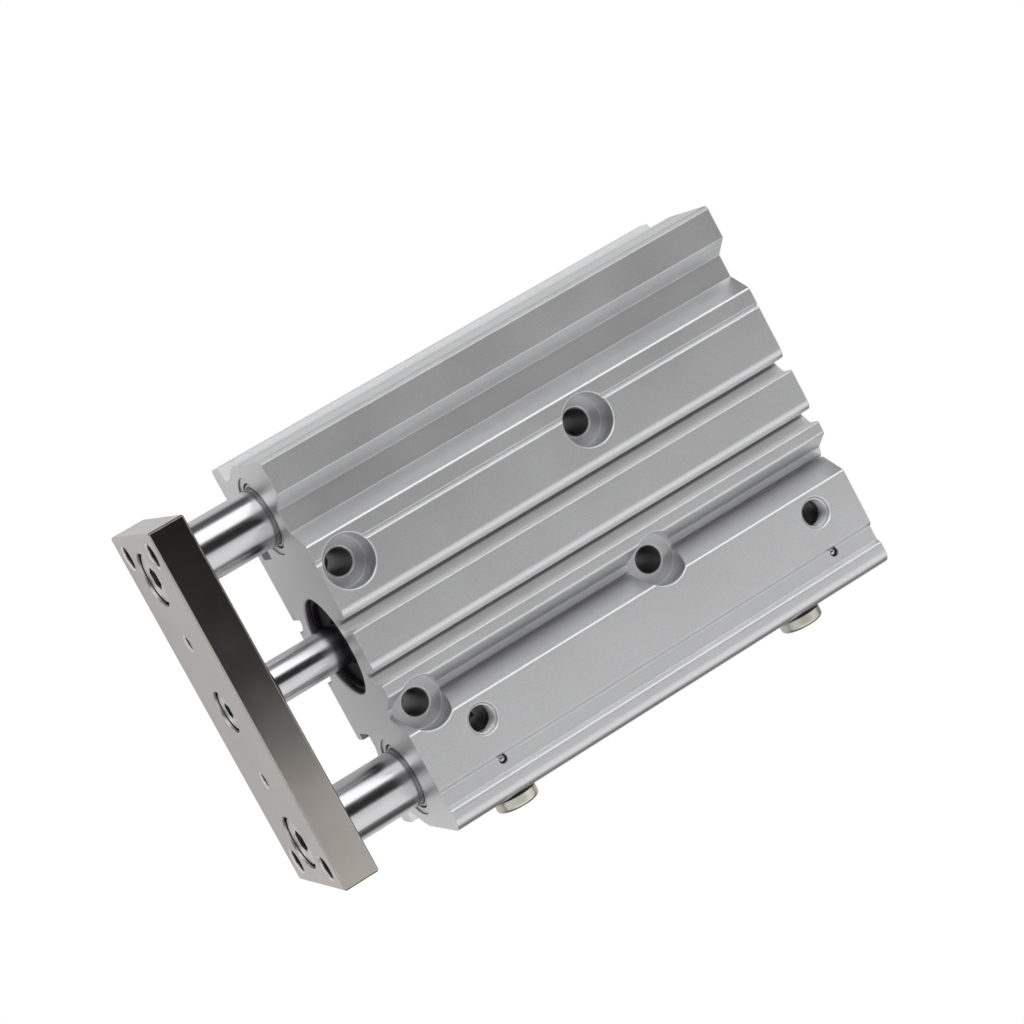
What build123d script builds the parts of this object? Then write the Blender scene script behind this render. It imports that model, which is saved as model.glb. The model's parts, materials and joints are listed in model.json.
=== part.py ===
from build123d import *
import os

# A compact guided pneumatic cylinder. A piston rod and two guide rods push one end plate out
# of a grooved aluminium body, which lies on its wide bottom face. +X runs along the stroke,
# from the body to the end plate, +Z points up, and the air ports are on the +Y half.
# The origin is on the bottom face, in the middle of the four mounting holes.
# Names ending in port_side lie at +Y, and names ending in plain_side at -Y.

os.makedirs("parts", exist_ok=True)

# Stroke
stroke = 125.0
retracted_gap = 10.0
rest_travel = 17.5

# Body
body_width = 130.0
body_height = 58.0
body_beyond_stroke = 44.5
port_corner_round = 4.0
plain_corner_chamfer = 1.2
foot_round = 1.6

# Cylinder bore and the seats of its two covers
bore_diameter = 32.0
cover_seat_step = 1.0
seat_lead = 0.8
rear_seat_depth = 9.5

# Guide bores
guide_inset = 18.0
guide_rod_diameter = 20.0
guide_bush_wall = 1.5
wiper_section = 3.8
wiper_seat_depth = 5.0

# Mounting holes through the body, and the threads at their lower ends
mount_pitch_x = 90.0
mount_pitch_y = 50.0
mount_inset = 10.0
mount_hole_diameter = 8.8
mount_counterbore_diameter = 17.0
mount_counterbore_depth = 11.0
mount_rim_bevel = 0.5
counterbore_rim_bevel = 0.45
base_thread_diameter = 10.0
base_thread_depth = 20.0

# Threads in the rear face
rear_pitch_y = 52.0
rear_pitch_z = 18.0
rear_thread_diameter = 8.0
rear_thread_depth = 16.0

# T-slots under the guide bores
t_slot_offset = 8.4
t_slot_opening = 8.4
t_slot_neck = 4.8
t_slot_width = 13.2
t_slot_depth = 14.2
guide_wall = 6.5

# Sensor slots, two in the top face and two in the bottom face
sensor_slot_y = 9.4
sensor_mouth_width = 7.8
sensor_lip_round = 3.4
sensor_channel_floor = 1.4
top_slot_depth = 9.4
bottom_slot_depth = 7.4
sensor_slot_slope = 3.0

# Long valleys, recess and marker groove in the top face
plain_valley_inset = 20.6
plain_valley_mouth = 18.2
plain_valley_floor = 8.0
plain_valley_depth = 8.8
port_valley_start = 17.6
port_valley_end = 31.2
port_valley_shelf_y = 22.2
port_valley_shelf_depth = 8.7
port_valley_low_y = 25.5
port_valley_low_depth = 10.2
port_valley_relief = 0.6
port_land_round = 1.2
recess_inset = 10.7
recess_mouth = 7.6
recess_floor = 4.8
recess_depth = 1.8
marker_y = -29.1
marker_width = 1.8
marker_floor = 0.2
marker_depth = 0.7
edge_break = 0.4

# Grooves along the two narrow sides
side_foot_height = 8.2
side_groove_depth = 4.4
side_groove_low = 9.6
side_groove_high = 14.2
side_shoulder_z = 23.0
side_shoulder_depth = 0.9
side_wall_z = 27.0
side_notch_z = 35.5
side_notch_width = 1.6
side_notch_depth = 0.8

# Air ports and passages
port_thread_diameter = 9.72
port_mouth_diameter = 10.8
port_depth = 12.0
top_port_inset = 26.5
front_port_inset = 23.3
rear_port_inset = 15.5
side_port_drop = 9.5
side_port_depth = 9.5
rear_side_port_inset = 33.5
passage_diameter = 3.0
link_diameter = 3.6
passage_end_inset = 1.6
passage_rise = 7.0

# Blanking plugs of the side ports
plug_head_diameter = 14.5
plug_head_height = 3.8
plug_head_round = 1.4
plug_shank_length = 7.5
plug_socket = 5.0
plug_socket_depth = 3.6
plug_seal_thickness = 0.6
plug_seal_outer = 13.6

# Sealing balls in the recess
ball_diameter = 3.0
ball_hole_depth = 3.8
ball_offset = 1.4

# Snap rings of the covers
snap_ring_thickness = 1.5
snap_ring_width = 2.9
snap_groove_depth = 1.4
snap_ear_radius = 2.2
snap_ear_hole = 1.0
snap_ear_y = 3.4
snap_gap = 2.6
front_snap_inset = 2.0
rear_snap_inset = 2.0

# Seals and bearings of the covers
o_ring_groove_width = 2.6
o_ring_groove_depth = 2.0
rod_bush_wall = 1.5
rod_bush_length = 6.0
rod_seal_groove_depth = 3.0
rod_seal_width = 4.0
rod_seal_shoulder = 1.4
rod_cover_lip = 2.0
rod_cover_clearance = 0.6
o_ring_squeezed_width = 2.3
o_ring_corner = 0.6
bumper_wall = 1.6
bumper_width = 3.0
bumper_seat_depth = 2.0
bumper_proud = 1.0
head_dish_diameter = 22.0
head_dish_depth = 1.2
head_puller_diameter = 4.2
head_puller_depth = 3.0

# Piston
piston_land = 1.2
wear_ring_width = 2.4
wear_ring_depth = 1.0
piston_seal_width = 3.4
piston_seal_depth = 3.3
magnet_width = 3.0
magnet_depth = 2.8
piston_spigot_diameter = 11.0
piston_pocket_diameter = 15.2
piston_pocket_depth = 5.7
washer_diameter = 14.8
washer_thickness = 1.4

# Rods
piston_rod_diameter = 14.0
neck_diameter = 12.0
neck_length = 3.5
neck_chamfer = 1.0
guide_rod_margin = 2.5
rod_end_chamfer = 1.2
bush_length = 16.0
felt_width = 3.6
guide_retainer_thickness = 2.2
guide_retainer_inset = 0.5
guide_retainer_gap = 1.6
wiper_lip_width = 1.3
wiper_lip_bevel = 0.6
wiper_lip_room = 0.4

# End plate
plate_side_gap = 2.5
plate_edge_gap = 4.0
plate_thickness = 12.5
plate_chamfer = 0.5
plate_thread_inset_y = 7.5
plate_thread_inset_z = 9.0
plate_thread_diameter = 8.0
dowel_pitch = 49.0
dowel_diameter = 5.0
plate_thread_lead = 0.5
dowel_lead = 0.5

# Socket cap screws with low heads
guide_screw_diameter = 10.0
guide_screw_head = 17.8
guide_screw_head_height = 6.0
guide_screw_length = 22.0
guide_screw_socket = 7.0
guide_counterbore = 19.0
guide_counterbore_depth = 7.0
rod_screw_diameter = 8.0
rod_screw_head = 14.0
rod_screw_head_height = 5.0
rod_screw_length = 20.0
rod_screw_socket = 5.0
rod_counterbore = 15.0
rod_counterbore_depth = 6.0
piston_screw_diameter = 6.0
piston_screw_head = 10.0
piston_screw_head_height = 3.9
piston_screw_length = 16.0
piston_screw_socket = 4.0
screw_hole_clearance = 0.5
screw_head_bevel = 0.6
socket_share = 0.6

# Room between pieces: pressed or screwed together, sliding on each other, and side by side
press_room = 0.02
running_room = 0.04
seal_room = 0.05
side_room = 0.1

# Places that follow from the sizes
half_width = body_width / 2
axis_z = body_height / 2
body_length = stroke + body_beyond_stroke
front = mount_pitch_x / 2 + mount_inset
rear = front - body_length
plate_back = front + retracted_gap + rest_travel
plate_front = plate_back + plate_thickness
bore_radius = bore_diameter / 2
seat_radius = bore_radius + cover_seat_step
guide_y = half_width - guide_inset
guide_radius = guide_rod_diameter / 2
bush_radius = guide_radius + guide_bush_wall
wiper_seat_radius = guide_radius + wiper_section
t_slot_y = guide_y - t_slot_offset
plain_valley_y = plain_valley_inset - half_width
recess_y = half_width - recess_inset
ball_y = recess_y - ball_offset
top_port_y = half_width - top_port_inset
plate_length = body_width - 2 * plate_side_gap
plate_width = body_height - 2 * plate_edge_gap
plate_thread_pitch_y = plate_length - 2 * plate_thread_inset_y
plate_thread_pitch_z = plate_width - 2 * plate_thread_inset_z
rod_radius = piston_rod_diameter / 2
bumper_outer = seat_radius - o_ring_groove_depth - bumper_wall
bumper_inner = bumper_outer - bumper_width
snap_groove_width = snap_ring_thickness + side_room
seal_groove_width = rod_seal_width + side_room
rod_cover_length = rod_cover_lip + seal_groove_width + rod_seal_shoulder + rod_bush_length
front_seat_depth = front_snap_inset + snap_groove_width + rod_cover_length
chamber_front = front - front_seat_depth
chamber_rear = rear + rear_seat_depth
front_port_x = front - front_port_inset
rear_port_x = rear + rear_port_inset
rear_side_port_x = rear + rear_side_port_inset
recess_z = body_height - recess_depth
side_port_z = body_height - side_port_drop
rod_cover_front = front - front_snap_inset - snap_groove_width
head_cover_rear = rear + rear_snap_inset + snap_groove_width
piston_length = chamber_front - chamber_rear - stroke - 2 * bumper_proud
piston_rear = chamber_rear + bumper_proud + rest_travel
piston_front = piston_rear + piston_length
guide_rod_rear = rear + guide_rod_margin + rest_travel
cylinder_axis = Axis((0, 0, axis_z), (1, 0, 0))
guides = {"port_side": guide_y, "plain_side": -guide_y}


def round_face(y, outer, inner=0.0):
    """Draw a disc or a ring around an axis along X, in the sketch that is open."""
    with Locations((y, axis_z)):
        Circle(outer)
        if inner:
            Circle(inner, mode=Mode.SUBTRACT)


def cut_sensor_channel(mouth_y, face_z, inward, depth):
    """Cut the channel of a sensor slot, with one sloping lower corner, into the section that is open."""
    right = mouth_y + sensor_mouth_width / 2
    left = right - sensor_mouth_width + sensor_lip_round
    wall_z = face_z + inward * (depth - sensor_slot_slope)
    floor_z = face_z + inward * depth
    Polygon(
        (left, face_z), (left, floor_z), (left + sensor_channel_floor, floor_z),
        (right, wall_z), (right, face_z),
        align=None, mode=Mode.SUBTRACT,
    )


def cut_groove(y, mouth, floor, depth):
    """Cut a groove with straight sloping sides into the top of the section that is open."""
    floor_z = body_height - depth
    Polygon(
        (y - mouth / 2, body_height), (y - floor / 2, floor_z),
        (y + floor / 2, floor_z), (y + mouth / 2, body_height),
        align=None, mode=Mode.SUBTRACT,
    )


def cap_screw(seat_x, places, diameter, head, head_height, length, socket, facing=1):
    """Make socket cap screws along X, heads resting at seat_x, one at each (y, z) place."""
    with BuildPart() as screw:
        with BuildSketch(Plane.YZ.offset(seat_x)):
            with Locations(*places):
                Circle(head / 2)
        extrude(amount=facing * head_height)
        rims = screw.edges().group_by(Axis.X)[-1 if facing > 0 else 0]
        chamfer(rims, length=screw_head_bevel)
        with BuildSketch(Plane.YZ.offset(seat_x)):
            with Locations(*places):
                Circle(diameter / 2)
        extrude(amount=-facing * length)
        with BuildSketch(Plane.YZ.offset(seat_x + facing * head_height)):
            with Locations(*places):
                RegularPolygon(socket / 2, 6, major_radius=False)
        extrude(amount=-facing * socket_share * head_height, mode=Mode.SUBTRACT)
    return screw


def snap_ring(x):
    """Make an internal snap ring with two eared ends at the bottom of a cover's seat."""
    outer = seat_radius + snap_groove_depth - side_room
    inner = outer - snap_ring_width
    with BuildPart() as ring:
        with BuildSketch(Plane.YZ.offset(x)):
            round_face(0, outer, inner)
            with Locations((snap_ear_y, axis_z - inner), (-snap_ear_y, axis_z - inner)):
                Circle(snap_ear_radius)
            with Locations((snap_ear_y, axis_z - inner), (-snap_ear_y, axis_z - inner)):
                Circle(snap_ear_hole, mode=Mode.SUBTRACT)
            with Locations((0, axis_z - outer)):
                Rectangle(snap_gap, 4 * snap_ring_width, mode=Mode.SUBTRACT)
        extrude(amount=snap_ring_thickness)
    return ring


def o_ring(x):
    """Make the O-ring that seals a cover, squeezed flat in its groove, with its middle at x."""
    middle = seat_radius - o_ring_groove_depth / 2
    with BuildPart() as ring:
        with BuildSketch(Plane.XZ) as squeezed:
            with Locations((x, axis_z + middle)):
                Rectangle(o_ring_squeezed_width, o_ring_groove_depth - 2 * press_room)
            chamfer(squeezed.vertices(), length=o_ring_corner)
        revolve(axis=cylinder_axis)
    return ring


def bumper(x_seat, direction):
    """Make the cushion ring in a cover's chamber face, standing proud in direction."""
    with BuildPart() as ring:
        with BuildSketch(Plane.YZ.offset(x_seat)):
            round_face(0, bumper_outer - press_room, bumper_inner + press_room)
        extrude(amount=direction * (bumper_seat_depth + bumper_proud))
    return ring


# Body: an extruded section with bores, holes, ports and passages
with BuildPart() as body:
    with BuildSketch(Plane.YZ.offset(rear)) as section:
        with Locations((0, axis_z)):
            Rectangle(body_width, body_height)
        fillet(section.vertices().group_by(Axis.Y)[0], radius=foot_round)
        fillet(section.vertices().group_by(Axis.Y)[-1].sort_by(Axis.X)[-1], radius=port_corner_round)
        chamfer(section.vertices().group_by(Axis.Y)[-1].sort_by(Axis.X)[0], length=plain_corner_chamfer)

        # Top face
        cut_groove(plain_valley_y, plain_valley_mouth, plain_valley_floor, plain_valley_depth)
        cut_groove(recess_y, recess_mouth, recess_floor, recess_depth)
        cut_groove(marker_y, marker_width, marker_floor, marker_depth)
        Polygon(
            (port_valley_start, body_height),
            (port_valley_shelf_y, body_height - port_valley_shelf_depth),
            (port_valley_low_y, body_height - port_valley_low_depth),
            (port_valley_end, body_height),
            align=None, mode=Mode.SUBTRACT,
        )
        with Locations((port_valley_low_y, body_height - port_valley_low_depth)):
            Circle(port_valley_relief, mode=Mode.SUBTRACT)
        fillet(
            section.vertices().sort_by_distance((port_valley_start, body_height))[0],
            radius=port_land_round,
        )
        for y in (-sensor_slot_y, sensor_slot_y):
            cut_sensor_channel(y, body_height, -1, top_slot_depth)
            cut_sensor_channel(y, 0, 1, bottom_slot_depth)
            lip_y = y - sensor_mouth_width / 2 + sensor_lip_round
            fillet(section.vertices().sort_by_distance((lip_y, body_height))[0], radius=sensor_lip_round)
        broken_edges = (
            plain_valley_y + plain_valley_mouth / 2,
            sensor_mouth_width / 2 - sensor_slot_y,
            sensor_mouth_width / 2 + sensor_slot_y,
            port_valley_end,
            recess_y + recess_mouth / 2,
        )
        for y in broken_edges:
            chamfer(section.vertices().sort_by_distance((y, body_height))[0], length=edge_break)

        # Narrow sides
        for side in (-1, 1):
            wall = side * half_width
            Polygon(
                (wall, side_foot_height),
                (wall - side * side_groove_depth, side_groove_low),
                (wall - side * side_groove_depth, side_groove_high),
                (wall - side * side_shoulder_depth, side_shoulder_z),
                (wall, side_wall_z),
                align=None, mode=Mode.SUBTRACT,
            )
            Polygon(
                (wall, side_notch_z - side_notch_width / 2),
                (wall - side * side_notch_depth, side_notch_z),
                (wall, side_notch_z + side_notch_width / 2),
                align=None, mode=Mode.SUBTRACT,
            )
    extrude(amount=body_length)

    # T-slots in the bottom face, whose heads stop at a round wall about each guide bore
    slot_head_z = (t_slot_neck + t_slot_depth) / 2
    with BuildSketch(Plane.YZ.offset(rear)):
        with Locations((t_slot_y, slot_head_z), (-t_slot_y, slot_head_z)):
            Rectangle(t_slot_width, t_slot_depth - t_slot_neck)
        for y in guides.values():
            with Locations((y, axis_z)):
                Circle(bush_radius + guide_wall, mode=Mode.SUBTRACT)
        with Locations((t_slot_y, t_slot_neck / 2), (-t_slot_y, t_slot_neck / 2)):
            Rectangle(t_slot_opening, t_slot_neck)
    extrude(amount=body_length, mode=Mode.SUBTRACT)

    # Bores and the seats at their ends
    with BuildSketch(Plane.YZ.offset(rear)):
        round_face(0, bore_radius)
        round_face(guide_y, bush_radius)
        round_face(-guide_y, bush_radius)
    extrude(amount=body_length, mode=Mode.SUBTRACT)
    with BuildSketch(Plane.YZ.offset(chamber_front)):
        round_face(0, seat_radius)
    extrude(amount=front_seat_depth, mode=Mode.SUBTRACT)
    with BuildSketch(Plane.YZ.offset(rear)):
        round_face(0, seat_radius)
    extrude(amount=rear_seat_depth, mode=Mode.SUBTRACT)
    seat_rims = body.edges().filter_by(GeomType.CIRCLE).filter_by(lambda e: abs(e.radius - seat_radius) < side_room)
    chamfer([seat_rims.sort_by(Axis.X)[0], seat_rims.sort_by(Axis.X)[-1]], length=seat_lead)
    with BuildSketch(Plane.YZ.offset(front - wiper_seat_depth)):
        round_face(guide_y, wiper_seat_radius)
        round_face(-guide_y, wiper_seat_radius)
    extrude(amount=wiper_seat_depth, mode=Mode.SUBTRACT)
    for groove_x in (rod_cover_front, rear + rear_snap_inset):
        with BuildSketch(Plane.YZ.offset(groove_x)):
            round_face(0, seat_radius + snap_groove_depth)
        extrude(amount=snap_groove_width, mode=Mode.SUBTRACT)

    # Mounting holes, counterbored from the top and threaded from below, and rear threads
    with Locations(Plane.XY.offset(body_height)):
        with GridLocations(mount_pitch_x, mount_pitch_y, 2, 2):
            CounterBoreHole(
                radius=mount_hole_diameter / 2,
                counter_bore_radius=mount_counterbore_diameter / 2,
                counter_bore_depth=mount_counterbore_depth,
            )
            Cone(
                bottom_radius=mount_counterbore_diameter / 2,
                top_radius=mount_counterbore_diameter / 2 + counterbore_rim_bevel,
                height=counterbore_rim_bevel,
                align=(Align.CENTER, Align.CENTER, Align.MAX),
                mode=Mode.SUBTRACT,
            )
    with Locations(Plane.XY.offset(body_height - mount_counterbore_depth)):
        with GridLocations(mount_pitch_x, mount_pitch_y, 2, 2):
            Cone(
                bottom_radius=mount_hole_diameter / 2,
                top_radius=mount_hole_diameter / 2 + mount_rim_bevel,
                height=mount_rim_bevel,
                align=(Align.CENTER, Align.CENTER, Align.MAX),
                mode=Mode.SUBTRACT,
            )
    with BuildSketch(Plane.XY):
        with GridLocations(mount_pitch_x, mount_pitch_y, 2, 2):
            Circle(base_thread_diameter / 2)
    extrude(amount=base_thread_depth, mode=Mode.SUBTRACT)
    with BuildSketch(Plane.YZ.offset(rear)):
        with Locations((0, axis_z)):
            with GridLocations(rear_pitch_y, rear_pitch_z, 2, 2):
                Circle(rear_thread_diameter / 2)
    extrude(amount=rear_thread_depth, mode=Mode.SUBTRACT)

    # Air ports in the top face and in the port side
    with Locations((front_port_x, top_port_y, body_height), (rear_port_x, top_port_y, body_height)):
        CounterSinkHole(
            radius=port_thread_diameter / 2,
            counter_sink_radius=port_mouth_diameter / 2,
            depth=port_depth,
            counter_sink_angle=90,
        )
    for x in (front_port_x, rear_side_port_x):
        with Locations(Plane(origin=(x, half_width, side_port_z), x_dir=(1, 0, 0), z_dir=(0, 1, 0))):
            Hole(radius=port_thread_diameter / 2, depth=side_port_depth)

    # Passages: from each top port to its end of the chamber, and from each side port to a top port
    port_floor = body_height - port_depth
    chamber_y = (bore_radius**2 - passage_rise**2) ** 0.5 - passage_diameter / 2
    link_y = half_width - side_port_depth
    runs = (
        (front_port_x, chamber_front - passage_end_inset),
        (rear_port_x, chamber_rear + passage_end_inset),
    )
    for port_x, chamber_x in runs:
        start = Vector(port_x, top_port_y, port_floor)
        run = Vector(chamber_x, chamber_y, axis_z + passage_rise) - start
        with BuildSketch(Plane(origin=start, z_dir=run)):
            Circle(passage_diameter / 2)
        extrude(amount=run.length, mode=Mode.SUBTRACT)
    for x, port_x in ((front_port_x, front_port_x), (rear_side_port_x, rear_port_x)):
        start = Vector(x, link_y, side_port_z)
        run = Vector(port_x, top_port_y, port_floor + link_diameter / 2) - start
        with BuildSketch(Plane(origin=start, z_dir=run)):
            Circle(link_diameter / 2)
        extrude(amount=run.length, mode=Mode.SUBTRACT)

    # Blind holes for the sealing balls, through the sloping edge of the recess
    with BuildSketch(Plane.XY.offset(recess_z - ball_hole_depth)):
        with Locations((front_port_x, ball_y), (rear_port_x, ball_y)):
            Circle(ball_diameter / 2 + press_room)
    extrude(amount=ball_hole_depth + recess_depth, mode=Mode.SUBTRACT)
body.part.label = "body"
export_step(body.part, "parts/body.step")

# Steel balls pressed into the recess
with BuildPart() as sealing_balls:
    ball_z = recess_z - ball_hole_depth + ball_diameter / 2
    with Locations((front_port_x, ball_y, ball_z), (rear_port_x, ball_y, ball_z)):
        Sphere(ball_diameter / 2)
sealing_balls.part.label = "sealing_balls"
export_step(sealing_balls.part, "parts/sealing_balls.step")

# Blanking plugs and their sealing washers in the two side ports
seal_plane = Plane(origin=(0, half_width, side_port_z), x_dir=(1, 0, 0), z_dir=(0, 1, 0))
plug_spots = ((front_port_x, 0), (rear_side_port_x, 0))
with BuildPart() as side_plug_seals:
    with BuildSketch(seal_plane):
        with Locations(*plug_spots):
            Circle(plug_seal_outer / 2)
            Circle(port_thread_diameter / 2, mode=Mode.SUBTRACT)
    extrude(amount=plug_seal_thickness)
side_plug_seals.part.label = "side_plug_seals"
export_step(side_plug_seals.part, "parts/side_plug_seals.step")

with BuildPart() as side_port_plugs:
    with BuildSketch(seal_plane.offset(plug_seal_thickness)):
        with Locations(*plug_spots):
            Circle(plug_head_diameter / 2)
    extrude(amount=plug_head_height)
    fillet(side_port_plugs.edges().group_by(Axis.Y)[-1], radius=plug_head_round)
    with BuildSketch(seal_plane.offset(plug_seal_thickness)):
        with Locations(*plug_spots):
            Circle(port_thread_diameter / 2 - seal_room)
    extrude(amount=-plug_seal_thickness - plug_shank_length)
    with BuildSketch(seal_plane.offset(plug_seal_thickness + plug_head_height)):
        with Locations(*plug_spots):
            RegularPolygon(plug_socket / 2, 6, major_radius=False)
    extrude(amount=-plug_socket_depth, mode=Mode.SUBTRACT)
side_port_plugs.part.label = "side_port_plugs"
export_step(side_port_plugs.part, "parts/side_port_plugs.step")

# Rod cover, which closes the front of the chamber
seal_front = rod_cover_front - rod_cover_lip
o_ring_front_x = rod_cover_front - rod_cover_length / 2 + o_ring_groove_width / 2
with BuildPart() as rod_cover:
    with BuildSketch(Plane.YZ.offset(chamber_front)):
        round_face(0, seat_radius - press_room, rod_radius + rod_cover_clearance)
    extrude(amount=rod_cover_length)
    with BuildSketch(Plane.YZ.offset(o_ring_front_x)):
        round_face(0, seat_radius, seat_radius - o_ring_groove_depth)
    extrude(amount=-o_ring_groove_width, mode=Mode.SUBTRACT)
    with BuildSketch(Plane.YZ.offset(seal_front)):
        round_face(0, rod_radius + rod_seal_groove_depth)
    extrude(amount=-seal_groove_width, mode=Mode.SUBTRACT)
    with BuildSketch(Plane.YZ.offset(chamber_front)):
        round_face(0, rod_radius + rod_bush_wall)
    extrude(amount=rod_bush_length, mode=Mode.SUBTRACT)
    with BuildSketch(Plane.YZ.offset(chamber_front)):
        round_face(0, bumper_outer, bumper_inner)
    extrude(amount=bumper_seat_depth, mode=Mode.SUBTRACT)
rod_cover.part.label = "rod_cover"
export_step(rod_cover.part, "parts/rod_cover.step")

rod_cover_o_ring = o_ring(o_ring_front_x - o_ring_groove_width / 2)
rod_cover_o_ring.part.label = "rod_cover_o_ring"
export_step(rod_cover_o_ring.part, "parts/rod_cover_o_ring.step")

rod_cover_snap_ring = snap_ring(rod_cover_front)
rod_cover_snap_ring.part.label = "rod_cover_snap_ring"
export_step(rod_cover_snap_ring.part, "parts/rod_cover_snap_ring.step")

# Rod seal: a rubber ring with a lip that reaches forward against the rod
with BuildPart() as rod_seal:
    outer = rod_radius + rod_seal_groove_depth - press_room
    with BuildSketch(Plane.XZ):
        with BuildLine():
            Polyline(
                (seal_front - side_room, axis_z + rod_radius + seal_room),
                (seal_front - rod_seal_width, axis_z + rod_radius + seal_room),
                (seal_front - rod_seal_width, axis_z + outer),
                (seal_front - side_room, axis_z + outer),
                (seal_front - rod_seal_width / 2, axis_z + (rod_radius + outer) / 2),
                close=True,
            )
        make_face()
    revolve(axis=cylinder_axis)
rod_seal.part.label = "rod_seal"
export_step(rod_seal.part, "parts/rod_seal.step")

with BuildPart() as rod_bush:
    with BuildSketch(Plane.YZ.offset(chamber_front)):
        round_face(0, rod_radius + rod_bush_wall - press_room, rod_radius + running_room)
    extrude(amount=rod_bush_length)
rod_bush.part.label = "rod_bush"
export_step(rod_bush.part, "parts/rod_bush.step")

front_bumper = bumper(chamber_front + bumper_seat_depth, -1)
front_bumper.part.label = "front_bumper"
export_step(front_bumper.part, "parts/front_bumper.step")

# Head cover, which closes the rear of the chamber
head_cover_length = chamber_rear - head_cover_rear
o_ring_rear_x = head_cover_rear + head_cover_length / 2 - o_ring_groove_width / 2
with BuildPart() as head_cover:
    with BuildSketch(Plane.YZ.offset(head_cover_rear)):
        round_face(0, seat_radius - press_room)
    extrude(amount=head_cover_length)
    with BuildSketch(Plane.YZ.offset(o_ring_rear_x)):
        round_face(0, seat_radius, seat_radius - o_ring_groove_depth)
    extrude(amount=o_ring_groove_width, mode=Mode.SUBTRACT)
    with BuildSketch(Plane.YZ.offset(chamber_rear)):
        round_face(0, bumper_outer, bumper_inner)
    extrude(amount=-bumper_seat_depth, mode=Mode.SUBTRACT)
    with BuildSketch(Plane.YZ.offset(head_cover_rear)):
        round_face(0, head_dish_diameter / 2)
    extrude(amount=head_dish_depth, mode=Mode.SUBTRACT)
    with BuildSketch(Plane.YZ.offset(head_cover_rear)):
        round_face(0, head_puller_diameter / 2)
    extrude(amount=head_dish_depth + head_puller_depth, mode=Mode.SUBTRACT)
head_cover.part.label = "head_cover"
export_step(head_cover.part, "parts/head_cover.step")

head_cover_o_ring = o_ring(o_ring_rear_x + o_ring_groove_width / 2)
head_cover_o_ring.part.label = "head_cover_o_ring"
export_step(head_cover_o_ring.part, "parts/head_cover_o_ring.step")

head_cover_snap_ring = snap_ring(rear + rear_snap_inset)
head_cover_snap_ring.part.label = "head_cover_snap_ring"
export_step(head_cover_snap_ring.part, "parts/head_cover_snap_ring.step")

rear_bumper = bumper(chamber_rear - bumper_seat_depth, 1)
rear_bumper.part.label = "rear_bumper"
export_step(rear_bumper.part, "parts/rear_bumper.step")

# Guide bearings: two bushes in line, a felt ring between them, and a wiper held by a ring
front_bush_x = front - wiper_seat_depth - bush_length
felt_x = front_bush_x - felt_width - side_room
rear_bush_x = felt_x - side_room - bush_length
retainer_x = front - guide_retainer_inset - guide_retainer_thickness
wiper_outer = wiper_seat_radius - press_room
retainer_outer = wiper_seat_radius - side_room
retainer_inner = guide_radius + wiper_lip_width + wiper_lip_room
for side, y in guides.items():
    with BuildPart() as front_bush:
        with BuildSketch(Plane.YZ.offset(front_bush_x)):
            round_face(y, bush_radius - press_room, guide_radius + running_room)
        extrude(amount=bush_length)
    front_bush.part.label = f"guide_bush_front_{side}"
    export_step(front_bush.part, f"parts/guide_bush_front_{side}.step")

    with BuildPart() as rear_bush:
        with BuildSketch(Plane.YZ.offset(rear_bush_x)):
            round_face(y, bush_radius - press_room, guide_radius + running_room)
        extrude(amount=bush_length)
    rear_bush.part.label = f"guide_bush_rear_{side}"
    export_step(rear_bush.part, f"parts/guide_bush_rear_{side}.step")

    with BuildPart() as felt:
        with BuildSketch(Plane.YZ.offset(felt_x)):
            round_face(y, bush_radius - press_room, guide_radius + seal_room)
        extrude(amount=felt_width)
    felt.part.label = f"guide_felt_{side}"
    export_step(felt.part, f"parts/guide_felt_{side}.step")

    # The wiper fills the seat behind the ring, and its lip comes forward between ring and rod
    with BuildPart() as wiper:
        with BuildSketch(Plane.YZ.offset(front - wiper_seat_depth)):
            round_face(y, wiper_outer, guide_radius + seal_room)
        extrude(amount=retainer_x - front + wiper_seat_depth)
        with BuildSketch(Plane.YZ.offset(retainer_x)):
            round_face(y, guide_radius + wiper_lip_width, guide_radius + seal_room)
        extrude(amount=guide_retainer_thickness - side_room)
        outer_tip = wiper.edges().group_by(Axis.X)[-1].sort_by(SortBy.RADIUS)[-1]
        chamfer(outer_tip, length=wiper_lip_bevel)
    wiper.part.label = f"guide_wiper_{side}"
    export_step(wiper.part, f"parts/guide_wiper_{side}.step")

    with BuildPart() as retainer:
        with BuildSketch(Plane.YZ.offset(retainer_x)):
            round_face(y, retainer_outer, retainer_inner)
            with Locations((y, axis_z - retainer_outer)):
                Rectangle(guide_retainer_gap, 3 * (retainer_outer - retainer_inner), mode=Mode.SUBTRACT)
        extrude(amount=guide_retainer_thickness)
    retainer.part.label = f"guide_retainer_{side}"
    export_step(retainer.part, f"parts/guide_retainer_{side}.step")

# Piston, grooved for its wear ring, seal and magnet from the front to the rear
wear_x = piston_front - piston_land - wear_ring_width
magnet_x = piston_rear + piston_land
seal_x = (wear_x + magnet_x + magnet_width - piston_seal_width) / 2
piston_radius = bore_radius - side_room
with BuildPart() as piston:
    with BuildSketch(Plane.YZ.offset(piston_rear)):
        round_face(0, piston_radius, piston_spigot_diameter / 2 + press_room)
    extrude(amount=piston_length)
    grooves = (
        (wear_x, wear_ring_width, wear_ring_depth),
        (seal_x, piston_seal_width, piston_seal_depth),
        (magnet_x, magnet_width, magnet_depth),
    )
    for x, width, depth in grooves:
        with BuildSketch(Plane.YZ.offset(x)):
            round_face(0, bore_radius, piston_radius - depth)
        extrude(amount=width, mode=Mode.SUBTRACT)
    with BuildSketch(Plane.YZ.offset(piston_rear)):
        round_face(0, piston_pocket_diameter / 2)
    extrude(amount=piston_pocket_depth, mode=Mode.SUBTRACT)
piston.part.label = "piston"
export_step(piston.part, "parts/piston.step")

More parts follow.
